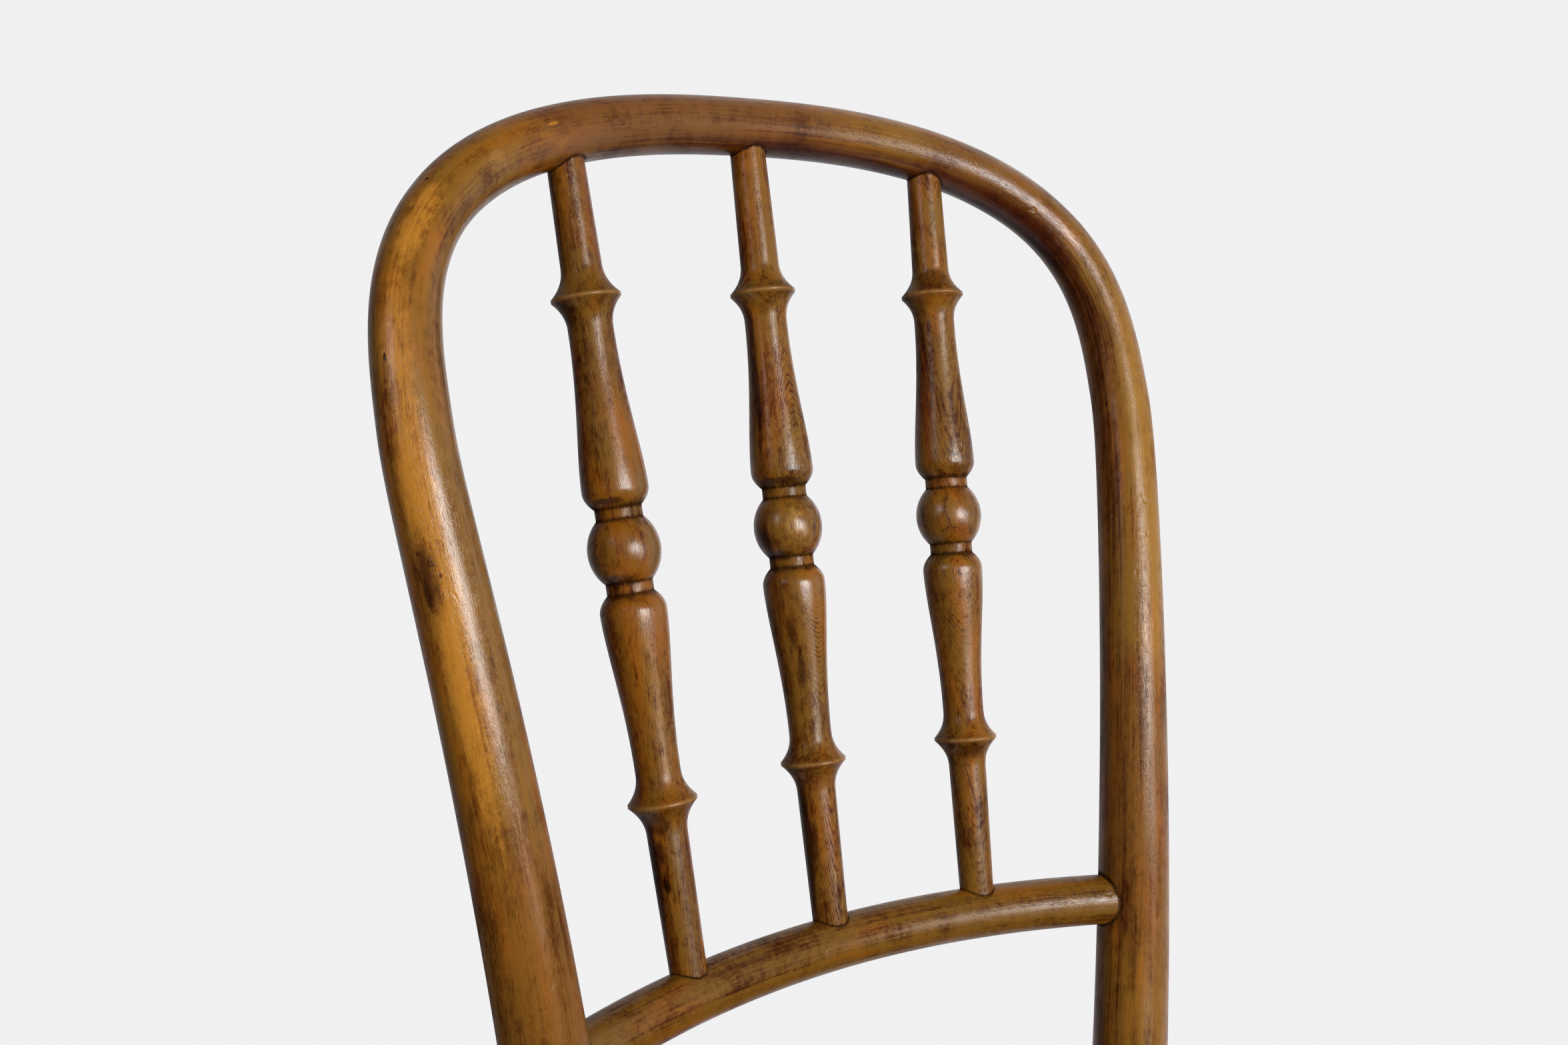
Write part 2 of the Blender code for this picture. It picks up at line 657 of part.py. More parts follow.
def seat_bolt(word, side):
    """Round-headed bolt through a post and the rim, with its washer, its nut and their cutters."""
    inward, head_seat, washer_seat = bolt_line(side)
    stack = FIT + WASHER_THICKNESS + FIT + NUT_THICKNESS
    length = (washer_seat - head_seat).length + stack + BOLT_POINT
    turns = [pi / 2 * share for share in [0.0, *steps(ROUNDING_STEPS)]]
    profile = [(BOLT_HEAD_HEIGHT * cos(turn), BOLT_HEAD_RADIUS * sin(turn)) for turn in turns]
    profile += [(0.0, BOLT_RADIUS), (-length, BOLT_RADIUS), (-length, 0.0)]
    underside = head_seat - inward * FIT
    matrix = axis_matrix(underside, underside - inward)
    turned(f"seat_bolt_{word}", profile, BOLT_SIDES, matrix, PARTS, DARK_STEEL)

    hole = BOLT_RADIUS + FIT
    ring = [(WASHER_THICKNESS, WASHER_RADIUS), (0.0, WASHER_RADIUS)]
    ring += [(0.0, hole), (WASHER_THICKNESS, hole)]
    washer_face = washer_seat + inward * FIT
    matrix = axis_matrix(washer_face, washer_face + inward)
    turned(f"seat_washer_{word}", ring, WASHER_SIDES, matrix, PARTS, DARK_STEEL, closed=True)

    nut_start = washer_face + inward * (WASHER_THICKNESS + FIT)
    nut_end = nut_start + inward * NUT_THICKNESS
    corner = NUT_ACROSS_FLATS / 2 / cos(pi / 6)
    nut = cylinder(f"seat_nut_{word}", corner, nut_start, nut_end, PARTS, DARK_STEEL, sides=6)

    shank = cylinder(
        f"seat_bolt_{word}_hole",
        hole,
        head_seat - inward * OVERRUN,
        nut_end + inward * OVERRUN,
        CUTTERS,
    )
    cut(nut, shank)
    head = cylinder(
        f"seat_bolt_{word}_head_seat",
        BOLT_HEAD_RADIUS + FIT,
        head_seat - inward * OVERRUN,
        head_seat,
        CUTTERS,
    )
    washer = cylinder(
        f"seat_bolt_{word}_washer_seat",
        WASHER_RADIUS + FIT,
        washer_seat,
        washer_seat + inward * OVERRUN,
        CUTTERS,
    )
    return shank, head, washer


def build():
    floor = below_floor()
    sockets = [spindle(f"spindle_{word}", spot) for word, spot in SPINDLE_SPOTS.items()]
    screw_holes = {word: leg_ring_screw(word, leg) for word, (leg, _) in leg_places().items()}
    groove = leg_ring_rod("leg_ring_groove", LEG_RING_ROD + FIT, CUTTERS)
    bolts = [seat_bolt(word, side) for word, side in SIDES.items()]

    hoop_cutters = [socket["hoop"] for socket in sockets]
    hoop_cutters += [rail_socket(), rim_envelope(), groove, floor]
    for shank, head, _ in bolts:
        hoop_cutters += [shank, head]
    hoop_cutters += [screw_holes["rear_left"], screw_holes["rear_right"]]
    back_hoop(hoop_cutters)
    lower_back_rail([socket["rail"] for socket in sockets])

    rim_cutters = []
    for shank, _, washer in bolts:
        rim_cutters += [shank, washer]
    for word, side in SIDES.items():
        name = "front_leg_" + word
        rim_cutters += front_leg_holes(name, side)
        front_leg(name, side, [groove, floor, screw_holes["front_" + word]])
    seat_rim(rim_cutters)
    seat_panel()
    leg_ring(screw_holes.values())


build()
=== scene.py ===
"""Looks of a worn bentwood side chair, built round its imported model.

Metres, +Z up: the chair stands on z = 0 and faces -Y, and +X is to the right seen from the
front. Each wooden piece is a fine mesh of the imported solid's own form. It carries its place in
the stick that it was bent or turned from, so that the growth rings, rays and pores run through
it as in real beech.
"""

from math import asin, cos, hypot, pi, radians, sin, sqrt, tan

import bmesh
import bpy
import numpy as np
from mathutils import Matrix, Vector


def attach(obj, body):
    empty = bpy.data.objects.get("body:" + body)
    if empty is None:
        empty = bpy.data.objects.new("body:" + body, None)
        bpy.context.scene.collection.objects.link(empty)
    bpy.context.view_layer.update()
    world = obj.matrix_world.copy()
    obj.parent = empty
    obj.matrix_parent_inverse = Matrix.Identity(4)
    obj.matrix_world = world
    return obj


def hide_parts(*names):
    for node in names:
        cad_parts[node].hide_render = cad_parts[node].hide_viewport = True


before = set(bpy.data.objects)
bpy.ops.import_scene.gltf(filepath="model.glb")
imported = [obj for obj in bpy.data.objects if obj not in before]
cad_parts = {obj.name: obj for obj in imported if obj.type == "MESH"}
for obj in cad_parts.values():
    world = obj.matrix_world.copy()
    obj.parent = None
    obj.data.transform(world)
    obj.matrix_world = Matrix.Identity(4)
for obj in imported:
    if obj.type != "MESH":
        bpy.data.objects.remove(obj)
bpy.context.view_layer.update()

# Back plane, as in the solids
BACK_LEAN = radians(11.0)
BALL_LEVEL = 0.7085
BALL_Y = 0.187

# Hoop
HOOP_HALF_WIDTH = 0.1768
HOOP_TOP = 0.1736
HOOP_SHOULDER = 0.0493
ARCH_SIDE_POWER = 2.35
ARCH_TOP_POWER = 2.98
POST_TAPER = 0.144
POST_KNEE = 0.021
POST_CURVE_RADIUS = 4.95
HOOP_FORWARD = 0.0273
HOOP_SLOPE = 0.0453
HOOP_CURVE_RADIUS = 1.667
HOOP_BOW = 0.0165
ROD_TOP_RADIUS = 0.01215
ROD_SEAT_RADIUS = 0.01725
ROD_FOOT_RADIUS = 0.0125
ROD_GROWS_BELOW = 0.130
ROD_GROWTH_POWER = 0.90
LEG_BEND_LENGTH = 0.200
REAR_LEG_SPLAY = 0.210
REAR_LEG_SWEEP = 0.330

# Lower back rail
RAIL_RADIUS = 0.0112
RAIL_BELOW_BALLS = 0.1857
RAIL_BOW = 0.0296
RAIL_RISE = 0.0097
RAIL_TENON = 0.012

# Spindles
SPINDLE_SPOTS = {"left": -1, "middle": 0, "right": 1}
SPINDLE_SPACING_TOP = 0.0925
SPINDLE_SPACING_RAIL = 0.0760
BALL_OVER_RAIL = 0.1781
SPINDLE_TENON = 0.010
BALL_RADIUS = 0.0146
BALL_HALF_LENGTH = 0.0163
NECK_RADIUS = 0.0094
NECK_END = 0.0170
VASE_START = 0.0243
VASE_RADIUS = 0.0133
VASE_END = 0.0880
VASE_END_RADIUS = 0.0090
VASE_SKEW = 0.79
RING_DISTANCE = 0.1001
RING_RADIUS = 0.0139
RING_EDGE = 0.0011
COVE_POWER = 2.3
COVE_END = 0.1130
COVE_END_RADIUS = 0.0082
SPINDLE_END_RADIUS = 0.0074

# Seat
SEAT_TOP = 0.460
RIM_RADIUS = 0.203
RIM_WIDTH = 0.042
RIM_HEIGHT = 0.032
RIM_ROUND = 0.009
RIM_MOUTH_ROUND = 0.0008
RIM_INNER_ROUND = 0.0015
REBATE_WIDTH = 0.013
REBATE_LIP_ROUND = 0.0005
REBATE_CORNER_ROUND = 0.0002
PANEL_THICKNESS = 0.005
PANEL_ROUND = 0.0015
PANEL_LOWER_ROUND = 0.0004
PANEL_PINHOLE = 0.0005
POST_LET_IN = 0.006
FIT = 0.0003

# Legs and leg ring
FRONT_LEG_ANGLE = radians(47.0)
FRONT_LEG_SPREAD = 0.040
FRONT_LEG_TOP_RADIUS = 0.0165
FRONT_LEG_SWELL_RADIUS = 0.0180
FRONT_LEG_SWELL_BELOW = 0.075
FRONT_LEG_FOOT_RADIUS = 0.0125
FRONT_LEG_LET_IN = 0.002
LEG_RING_HEIGHT = 0.225
LEG_RING_ROD = 0.0095
LEG_RING_LET_IN = 0.003

RIM_BOTTOM = SEAT_TOP - RIM_HEIGHT
RIM_MIDDLE = SEAT_TOP - RIM_HEIGHT / 2
BEND_START = (RIM_MIDDLE - BALL_LEVEL) / cos(BACK_LEAN)
SIDES = {"left": -1, "right": 1}

# Fineness of the meshes
ROD_STEP = 0.0022
ROD_SIDES = 56
TURNED_SIDES = 72
SEAT_STEPS = 288
HOOP_STEPS = 400
RAIL_STEPS = 120
LEG_RING_STEPS = 180
FRONT_LEG_STEPS = 180
ROD_SHARP_EDGE = radians(50)
SEAT_SHARP_EDGE = radians(40)

# Height at which the rear legs' centre lines end, before their ends are laid on the floor
ON_FLOOR = 0.006

# Camera, as solved from the photo
CAMERA_PLACE = Vector((-0.4113, -0.3730, 0.8110))
CAMERA_AZIMUTH = radians(35.79)
CAMERA_DIP = radians(8.12)
CAMERA_LENS = 38.18
SENSOR_WIDTH = 36.0
CLIP_START = 0.01

# Lamps, aimed at the back's middle: turn from the camera's place, to its right, and height over
# it, in degrees, distance, width, height, watts, colour, and whether the varnish mirrors it
BACK_MIDDLE = Vector((0.0, 0.19, 0.70))
DAYLIGHT = (1.0, 0.985, 0.95)
LAMPS = {
    "window": (41.0, 13.0, 5.2, 2.00, 1.90, 208.0, DAYLIGHT, True),
    "side_window": (-42.0, 25.0, 5.6, 1.40, 1.80, 36.0, (0.84, 0.86, 1.0), True),
    "door": (58.0, 3.0, 5.2, 1.20, 2.40, 48.0, DAYLIGHT, True),
    "fill": (16.0, 24.0, 5.2, 4.8, 4.0, 170.0, (1.0, 0.985, 0.96), False),
    "back": (165.0, 20.0, 5.6, 4.4, 4.4, 230.0, (0.97, 0.98, 1.0), False),
}

# Room: its own light, what the wall behind the chair adds, and what gloss mirrors of that wall
# and of its sunny part, which lies at a turn to the right of straight ahead of the camera
WALL_COLOUR = (0.88, 0.875, 0.885)
ROOM_LIGHT = 0.04
WALL_LIGHT = 0.34
WALL_SHINE = 0.15
SUNNY_WALL_SHINE = 0.8
SUNNY_WALL_TURN = 55.0

# Floor: a pale disc that fades into the backdrop between two distances
FLOOR_COLOUR = (0.84, 0.835, 0.84)
FLOOR_ROUGHNESS = 0.8
FLOOR_RADIUS = 1.0
FLOOR_SIDES = 96
FLOOR_FADES = (0.30, 0.85)

# Way towards the window lamp. Wood turned to it is painted paler and more olive, a painted sheen,
# and wood turned from it is painted darker and redder, a painted shade
PAINTED_LIGHT_WAY = Vector((-0.09, -0.97, 0.22))

# Colours of the wood, linear. The stain multiplies the others.
ORANGE = (0.335, 0.110, 0.0070)
OLIVE = (0.225, 0.099, 0.0110)
RED_BROWN = (0.185, 0.045, 0.0035)
STAIN = (0.250, 0.088, 0.050)
GOLD = (0.430, 0.180, 0.0220)
# Pale tone: faded wood on the hoop's right post, and a painted sheen on the middle spindle's ball
FADED_AND_SHEEN = (0.340, 0.170, 0.0300)
BROWN = (0.140, 0.048, 0.0085)
DARK = (0.030, 0.0065, 0.0012)
PURPLE = (0.050, 0.0140, 0.0060)
OLD_VARNISH = (0.070, 0.0135, 0.0020)
GRIME = (0.016, 0.0055, 0.0020)
WORN = (0.320, 0.160, 0.045)
PALE_CHIP = (0.60, 0.52, 0.38)
BLUE_SPECK = (0.10, 0.13, 0.22)

# Colours of the steel
BARE_STEEL = (0.21, 0.195, 0.175)
TARNISH = (0.060, 0.034, 0.020)

# Noise in the wood, in waves per metre outward from the pith, round it and along the stick
RING_WANDER = (9.0, 22.0, 7.0)
RING_RIPPLE = (300.0, 420.0, 60.0)
RING_SHOWS = (210.0, 90.0, 22.0)
FIBRES = (1900.0, 1900.0, 210.0)
STREAKS = (700.0, 700.0, 14.0)
BANDS = (150.0, 150.0, 10.0)
PORES = (3000.0, 3000.0, 420.0)
RAYS = (90.0, 2600.0, 380.0)
HUE = (95.0, 95.0, 17.0)
REDNESS = (80.0, 80.0, 13.0)
SANDING = (2200.0, 2200.0, 700.0)

# Noise in the chair's own space, and on a piece's surface, round it and along it
MOTTLE = (360.0, 360.0, 230.0)
CLOUD = (60.0, 60.0, 34.0)
RUBBING = (60.0, 60.0, 35.0)
RAGGED = (1100.0, 700.0, 1.0)
FRAYED = (330.0, 120.0, 1.0)
SPECKS = (1300.0, 900.0, 1.0)
WAVES = (110.0, 45.0, 1.0)
DENTS = (170.0, 110.0, 1.0)

# Relief of the wood, in metres
WAVE_HEIGHT = 0.00026
FIBRE_HEIGHT = 0.00008
SANDING_HEIGHT = 0.00007
PORE_HEIGHT = -0.00006
DENT_HEIGHT = -0.00020
GRIME_HEIGHT = 0.00012
WOOD_RELIEF = 0.9
FILM_RELIEF = 0.65

# Varnish
VARNISH_IOR = 1.5
WOOD_SPECULAR = 0.04
BASE_ROUGHNESS = 0.34
TOP_ROUGHNESS = 0.9

# Distance of the pith from a stick's middle, and its angle in the stick's section, which turns
# from the start of a bent stick to its end
PITH_DISTANCE = 0.07
RIM_PITH_DISTANCE = 0.09
RIM_PITH = radians(25)
HOOP_PITH = (radians(30), radians(133))
RAIL_PITH = (radians(70), radians(95))
LEG_RING_PITH = (radians(20), radians(20))

# Depth in the log of the panel's veneer at its middle, and how it changes across and down its edge
VENEER_DEPTH = 0.05
VENEER_SLOPE = 0.035
VENEER_EDGE_SLOPE = 2

# Where each stick starts in its grain, and the seed of each piece's noise
RAIL_START = 3.1
LEG_RING_START = 9.0
FRONT_LEG_START = 5.0
SEEDS = {
    "back_hoop": 1.0,
    "lower_back_rail": 31.0,
    "seat_rim": 71.0,
    "seat_panel": 83.0,
    "front_leg_left": 92.0,
    "front_leg_right": 102.0,
    "leg_ring": 117.0,
}

# Dirt round a joint: how far it reaches from the joint's middle, and how wide its line is
SPINDLE_DIRT_REACH = 0.014
RAIL_DIRT_REACH = 0.020
POST_DIRT_REACH = 0.040
HOOP_DIRT_BY_SPINDLE = 0.0020
RAIL_DIRT_BY_SPINDLE = 0.0016
SPINDLE_DIRT_BY_HOOP = 0.0012
SPINDLE_DIRT_BY_RAIL = 0.0008
HOOP_DIRT_BY_RAIL = 0.0024
RAIL_DIRT_BY_HOOP = 0.0016

# Gloss along the hoop from its left foot, against the rest's. It is lost on the posts, where hands
# and seat backs rub.
HOOP_POLISH = [
    (0.450, 0.0), (0.575, -1.2), (0.640, -0.6), (0.690, 0.0), (1.080, 0.0), (1.150, 0.3),
    (1.220, 0.0), (1.300, -0.9), (1.410, -0.4), (1.500, -0.4), (1.700, 0.0),
]


def back_point(x, back, up):
    """Point of a place in the back plane's own measures."""
    y = BALL_Y + back * cos(BACK_LEAN) + up * sin(BACK_LEAN)
    z = BALL_LEVEL + up * cos(BACK_LEAN) - back * sin(BACK_LEAN)
    return Vector((x, y, z))


BACK_NORMAL = back_point(0, 1, 0) - back_point(0, 0, 0)


def hoop_back(x, up):
    held = max(up, BEND_START)
    curve = held * (2 * up - held) / (2 * HOOP_CURVE_RADIUS)
    return -HOOP_FORWARD + HOOP_SLOPE * up + curve + HOOP_BOW * (1 - (x / HOOP_HALF_WIDTH) ** 2)


def arch_up(x):
    share = (1 - (abs(x) / HOOP_HALF_WIDTH) ** ARCH_SIDE_POWER) ** (1 / ARCH_TOP_POWER)
    return HOOP_SHOULDER + (HOOP_TOP - HOOP_SHOULDER) * share


def leg_bend(below):
    if below <= 0:
        return 0.0
    if below < LEG_BEND_LENGTH:
        return below**2 / (2 * LEG_BEND_LENGTH)
    return below - LEG_BEND_LENGTH / 2


def post_point(up):
    """Centre line of the right post and leg."""
    drop = HOOP_SHOULDER - up
    curved = min(drop, HOOP_SHOULDER - BEND_START)
    bend = leg_bend(BEND_START - up)
    x = HOOP_HALF_WIDTH - POST_TAPER * (hypot(drop, POST_KNEE) - POST_KNEE)
    x += curved * (2 * drop - curved) / (2 * POST_CURVE_RADIUS)
    x += REAR_LEG_SPLAY * bend
    return back_point(x, hoop_back(x, up) + REAR_LEG_SWEEP * bend, up)


def post_up_at(height):
    low, high = -2 * BALL_LEVEL, HOOP_SHOULDER
    for _ in range(50):
        middle = (low + high) / 2
        if post_point(middle).z < height:
            low = middle
        else:
            high = middle
    return high


FOOT_UP = post_up_at(0.0)


def rod_radius(up):
    if up >= BEND_START:
        share = max(0.0, ROD_GROWS_BELOW - up) / (ROD_GROWS_BELOW - BEND_START)
        return ROD_TOP_RADIUS + (ROD_SEAT_RADIUS - ROD_TOP_RADIUS) * share**ROD_GROWTH_POWER
    share = (BEND_START - up) / (BEND_START - FOOT_UP)
    return ROD_SEAT_RADIUS + (ROD_FOOT_RADIUS - ROD_SEAT_RADIUS) * share


def ease(share):
    return (1 - cos(pi * share)) / 2


def steps(count):
    return [i / count for i in range(1, count + 1)]


def new_mesh(name, points, faces, attributes):
    """Mesh object with its wood coordinates and wear as attributes of its points."""
    mesh = bpy.data.meshes.new(name)
    mesh.from_pydata([tuple(p) for p in points], [], faces)
    for label, values in attributes.items():
        values = np.asarray(values, np.float32)
        kind = "FLOAT_VECTOR" if values.ndim == 2 else "FLOAT"
        layer = mesh.attributes.new(label, kind, "POINT")
        layer.data.foreach_set("vector" if values.ndim == 2 else "value", values.ravel())
    mesh.shade_smooth()
    obj = bpy.data.objects.new(name, mesh)
    bpy.context.scene.collection.objects.link(obj)
    return obj


def wood_grain(a, b, along, pith, distance=PITH_DISTANCE):
    """Place in the log: out from the pith, round it and along it."""
    out_a = a + distance * np.cos(pith)
    out_b = b + distance * np.sin(pith)
    turned_a = out_a * np.cos(pith) + out_b * np.sin(pith)
    turned_b = out_b * np.cos(pith) - out_a * np.sin(pith)
    outward = np.hypot(turned_a, turned_b)
    around = np.arctan2(turned_b, turned_a) * distance
    return np.stack([outward, around, along + 0 * outward], axis=-1)


def resampled(points, radii, step, closed=False):
    """The line's points and radii at even distances along it, with those distances."""
    points = np.array([tuple(p) for p in points])
    radii = np.array(radii)
    if closed:
        points = np.vstack([points, points[:1]])
        radii = np.append(radii, radii[0])
    lengths = np.append(0.0, np.cumsum(np.linalg.norm(np.diff(points, axis=0), axis=1)))
    count = max(2, round(lengths[-1] / step))
    places = np.linspace(0.0, lengths[-1], count + 1)
    if closed:
        places = places[:-1]
    line = np.stack([np.interp(places, lengths, points[:, k]) for k in range(3)], axis=1)
    return line, np.interp(places, lengths, radii), places


def ring_faces(rows, sides, closed):
    """Quads between rows of points, and a fan of the end rows where the line isn't closed."""
    faces = []
    for row in range(rows if closed else rows - 1):
        low, high = row * sides, (row + 1) % rows * sides
        for i in range(sides):
            j = (i + 1) % sides
            faces.append((low + i, low + j, high + j, high + i))
    if not closed:
        faces.append(tuple(reversed(range(sides))))
        faces.append(tuple(range((rows - 1) * sides, rows * sides)))
    return faces


def stood(spots, up):
    """Slides an end row of points along its leg onto the floor."""
    return spots - (spots[:, 2] / up[2])[:, None] * up


def swept(
    name, points, radii, reference, pith, grain_start=0.0,
    closed=False, on_floor=False, kept=None, polish=None,
):
    """Round rod along a line. Its section starts at the reference, laid square to the line."""
    line, sizes, places = resampled(points, radii, ROD_STEP, closed)
    if closed:
        tangent = np.roll(line, -1, axis=0) - np.roll(line, 1, axis=0)
    else:
        tangent = np.gradient(line, axis=0)
    tangent /= np.linalg.norm(tangent, axis=1)[:, None]
    reference = np.array(tuple(reference))
    first = reference - (tangent @ reference)[:, None] * tangent
    first /= np.linalg.norm(first, axis=1)[:, None]
    second = np.cross(tangent, first)
    turns = np.arange(ROD_SIDES) * 2 * pi / ROD_SIDES
    a = sizes[:, None] * np.cos(turns)
    b = sizes[:, None] * np.sin(turns)
    spots = line[:, None] + a[..., None] * first[:, None] + b[..., None] * second[:, None]
    share = (places / places[-1])[:, None]
    angle = pith[0] + (pith[1] - pith[0]) * share
    grain = wood_grain(a, b, grain_start + places[:, None], angle)
    if on_floor:
        spots[0] = stood(spots[0], tangent[0])
        spots[-1] = stood(spots[-1], tangent[-1])
    place = np.stack([sizes[:, None] * (turns - pi), places[:, None] + 0 * a, 0 * a], axis=-1)
    faces = ring_faces(len(line), ROD_SIDES, closed)
    attributes = {"grain": grain.reshape(-1, 3), "place": place.reshape(-1, 3)}
    if kept:
        attributes["kept"] = kept(turns - pi, places[:, None]).ravel()
        attributes["polish"] = np.repeat(polish(places), ROD_SIDES)
    rod = new_mesh(name, spots.reshape(-1, 3), faces, attributes)
    rod.data.set_sharp_from_angle(angle=ROD_SHARP_EDGE)
    return rod


def lathe(
    name, profile, start, towards, pith, grain_start=0.0,
    runout=0.0, distance=PITH_DISTANCE, on_floor=False,
):
    """Turned piece. Its profile is (distance along the axis, radius, grime, wear, polish)."""
    axis = (towards - start).normalized()
    first = (Vector((1, 0, 0)) - axis * axis.x).normalized()
    second = axis.cross(first)
    along, size, grime, wear, polish = np.array(profile).T
    turns = np.arange(TURNED_SIDES) * 2 * pi / TURNED_SIDES
    a = size[:, None] * np.cos(turns)
    b = size[:, None] * np.sin(turns)
    axis, first, second = (np.array(tuple(v)) for v in (axis, first, second))
    spots = np.array(tuple(start)) + along[:, None, None] * axis
    spots = spots + a[..., None] * first + b[..., None] * second
    slant = along[:, None] * tan(runout)
    shifted_a, shifted_b = a + slant * cos(pith), b + slant * sin(pith)
    grain = wood_grain(shifted_a, shifted_b, grain_start + along[:, None], pith, distance)
    if on_floor:
        spots[0] = stood(spots[0], axis)
    around = (turns - pi / 4) % (2 * pi) - pi
    place = np.stack([size[:, None] * around, along[:, None] + 0 * a, 0 * a], axis=-1)
    attributes = {
        "grain": grain.reshape(-1, 3),
        "place": place.reshape(-1, 3),
        "grime": np.repeat(grime, TURNED_SIDES),
        "wear": np.repeat(wear, TURNED_SIDES),
        "polish": np.repeat(polish, TURNED_SIDES),
    }
    faces = ring_faces(len(along), TURNED_SIDES, False)
    piece = new_mesh(name, spots.reshape(-1, 3), faces, attributes)
    piece.data.set_sharp_from_angle(angle=ROD_SHARP_EDGE)
    return piece


def hoop_line():
    """Points and radii from the left foot over the arch to the right foot."""
    end = post_up_at(ON_FLOOR)
    right = []
    for share in [0.0, *steps(HOOP_STEPS)]:
        angle = pi / 2 * share
        x = HOOP_HALF_WIDTH * sin(angle) ** (2 / ARCH_SIDE_POWER)
        up = HOOP_SHOULDER + (HOOP_TOP - HOOP_SHOULDER) * cos(angle) ** (2 / ARCH_TOP_POWER)
        right.append((back_point(x, hoop_back(x, up), up), rod_radius(up)))
    for share in steps(HOOP_STEPS):
        up = HOOP_SHOULDER + (end - HOOP_SHOULDER) * share
        right.append((post_point(up), rod_radius(up)))
    left = [(Vector((-p.x, p.y, p.z)), radius) for p, radius in reversed(right[1:])]
    return zip(*(left + right))


def seat_centre():
    up = post_up_at(RIM_MIDDLE)
    post = post_point(up)
    reach = RIM_RADIUS + rod_radius(up) - POST_LET_IN
    return Vector((0.0, post.y - sqrt(reach**2 - post.x**2), 0.0))


def hoop_kept(turn, along):
    """Share of old dark varnish kept on the hoop's inner side, most of all on the arch's right."""
    right = np.clip((along - 0.93) / 0.10, 0.0, 1.0)
    down = np.clip((along - 1.17) / 0.08, 0.0, 1.0)
    inner = np.cos(turn - np.radians(78 + 12 * down))
    side = np.clip((inner - 0.30) / 0.65, 0.0, 1.0)
    return side * (0.15 + 0.85 * right - 0.60 * down)


def arch_point(x):
    up = arch_up(x)
    return back_point(x, hoop_back(x, up), up)


def tangent(line, place, step=0.001):
    return (line(place + step) - line(place - step)).normalized()


def hoop_polish(along):
    places, gloss = zip(*HOOP_POLISH)
    return np.interp(along, places, gloss)


def rail_point(x):
    span = post_point(-RAIL_BELOW_BALLS).x
    rise = 1 - (x / span) ** 2
    back = hoop_back(span, -RAIL_BELOW_BALLS) + RAIL_BOW * rise
    return back_point(x, back, RAIL_RISE * rise - RAIL_BELOW_BALLS)


def rail_end():
    return post_point(-RAIL_BELOW_BALLS).x - rod_radius(-RAIL_BELOW_BALLS) + RAIL_TENON


def spindle_axis(spot):
    """Where a spindle's axis meets the centre lines of the hoop and the rail."""
    return arch_point(SPINDLE_SPACING_TOP * spot), rail_point(SPINDLE_SPACING_RAIL * spot)


def spindle_half(end):
    """Half of a spindle's profile, out from the middle of its ball."""
    half = []
    neck_start = BALL_HALF_LENGTH * sqrt(1 - (NECK_RADIUS / BALL_RADIUS) ** 2)
    ball_turn = asin(neck_start / BALL_HALF_LENGTH)
    for share in steps(24):
        angle = ball_turn * share
        along, radius = BALL_HALF_LENGTH * sin(angle), BALL_RADIUS * cos(angle)
        half.append((along, radius, share**9, 0.0, 1 - share**4))
    for share in steps(8):
        grime = 0.30 + 0.70 * abs(2 * share - 1) ** 3
        half.append((neck_start + (NECK_END - neck_start) * share, NECK_RADIUS, grime, 0.0, 0.0))
    for share in steps(16):
        along = NECK_END + (VASE_START - NECK_END) * share
        radius = VASE_RADIUS - (VASE_RADIUS - NECK_RADIUS) * (1 - share) ** 2
        half.append((along, radius, (1 - share) ** 3, 0.0, share**2))
    for share in steps(50):
        along = VASE_START + (VASE_END - VASE_START) * share
        radius = VASE_RADIUS + (VASE_END_RADIUS - VASE_RADIUS) * ease(share**VASE_SKEW)
        half.append((along, radius, 0.0, 0.0, max(0.0, 1 - 6 * share)))
    ring_start = RING_DISTANCE - RING_EDGE / 2
    ring_end = ring_start + RING_EDGE
    for share in steps(24):
        along = VASE_END + (ring_start - VASE_END) * share
        flare = share**COVE_POWER
        radius = VASE_END_RADIUS + (RING_RADIUS - VASE_END_RADIUS) * flare
        half.append((along, radius, 0.30 * share**2, share**12, 0.0))
    rounding = RING_EDGE / 2
    for turn in (-60, -30, 0, 30, 60):
        along = RING_DISTANCE + rounding * sin(radians(turn))
        half.append((along, RING_RADIUS - 0.5 * rounding * (1 - cos(radians(turn))), 0.0, 1.0, 0.5))
    for share in [0.0, *steps(24)]:
        along = ring_end + (COVE_END - ring_end) * share
        flare = (1 - share) ** COVE_POWER
        radius = COVE_END_RADIUS + (RING_RADIUS - COVE_END_RADIUS) * flare
        half.append((along, radius, 0.45 * (1 - share), (1 - share) ** 12, 0.0))
    for share in steps(16):
        along = COVE_END + (end - COVE_END) * share
        radius = COVE_END_RADIUS + (SPINDLE_END_RADIUS - COVE_END_RADIUS) * share
        half.append((along, radius, 0.0, 0.0, 0.0))
    return half


def spindle(name, spot, pith, grain_start, runout, distance):
    top, bottom = spindle_axis(spot)
    up = (top - bottom).normalized()
    top_end = (top - bottom).length - BALL_OVER_RAIL - ROD_TOP_RADIUS + SPINDLE_TENON
    bottom_end = BALL_OVER_RAIL - RAIL_RADIUS + SPINDLE_TENON
    lower = [(-along, *rest) for along, *rest in reversed(spindle_half(bottom_end))]
    profile = [*lower, (0.0, BALL_RADIUS, 0.0, 0.0, 1.0), *spindle_half(top_end)]
    ball = bottom + up * BALL_OVER_RAIL
    return lathe(name, profile, ball, top, pith, grain_start, runout, distance)


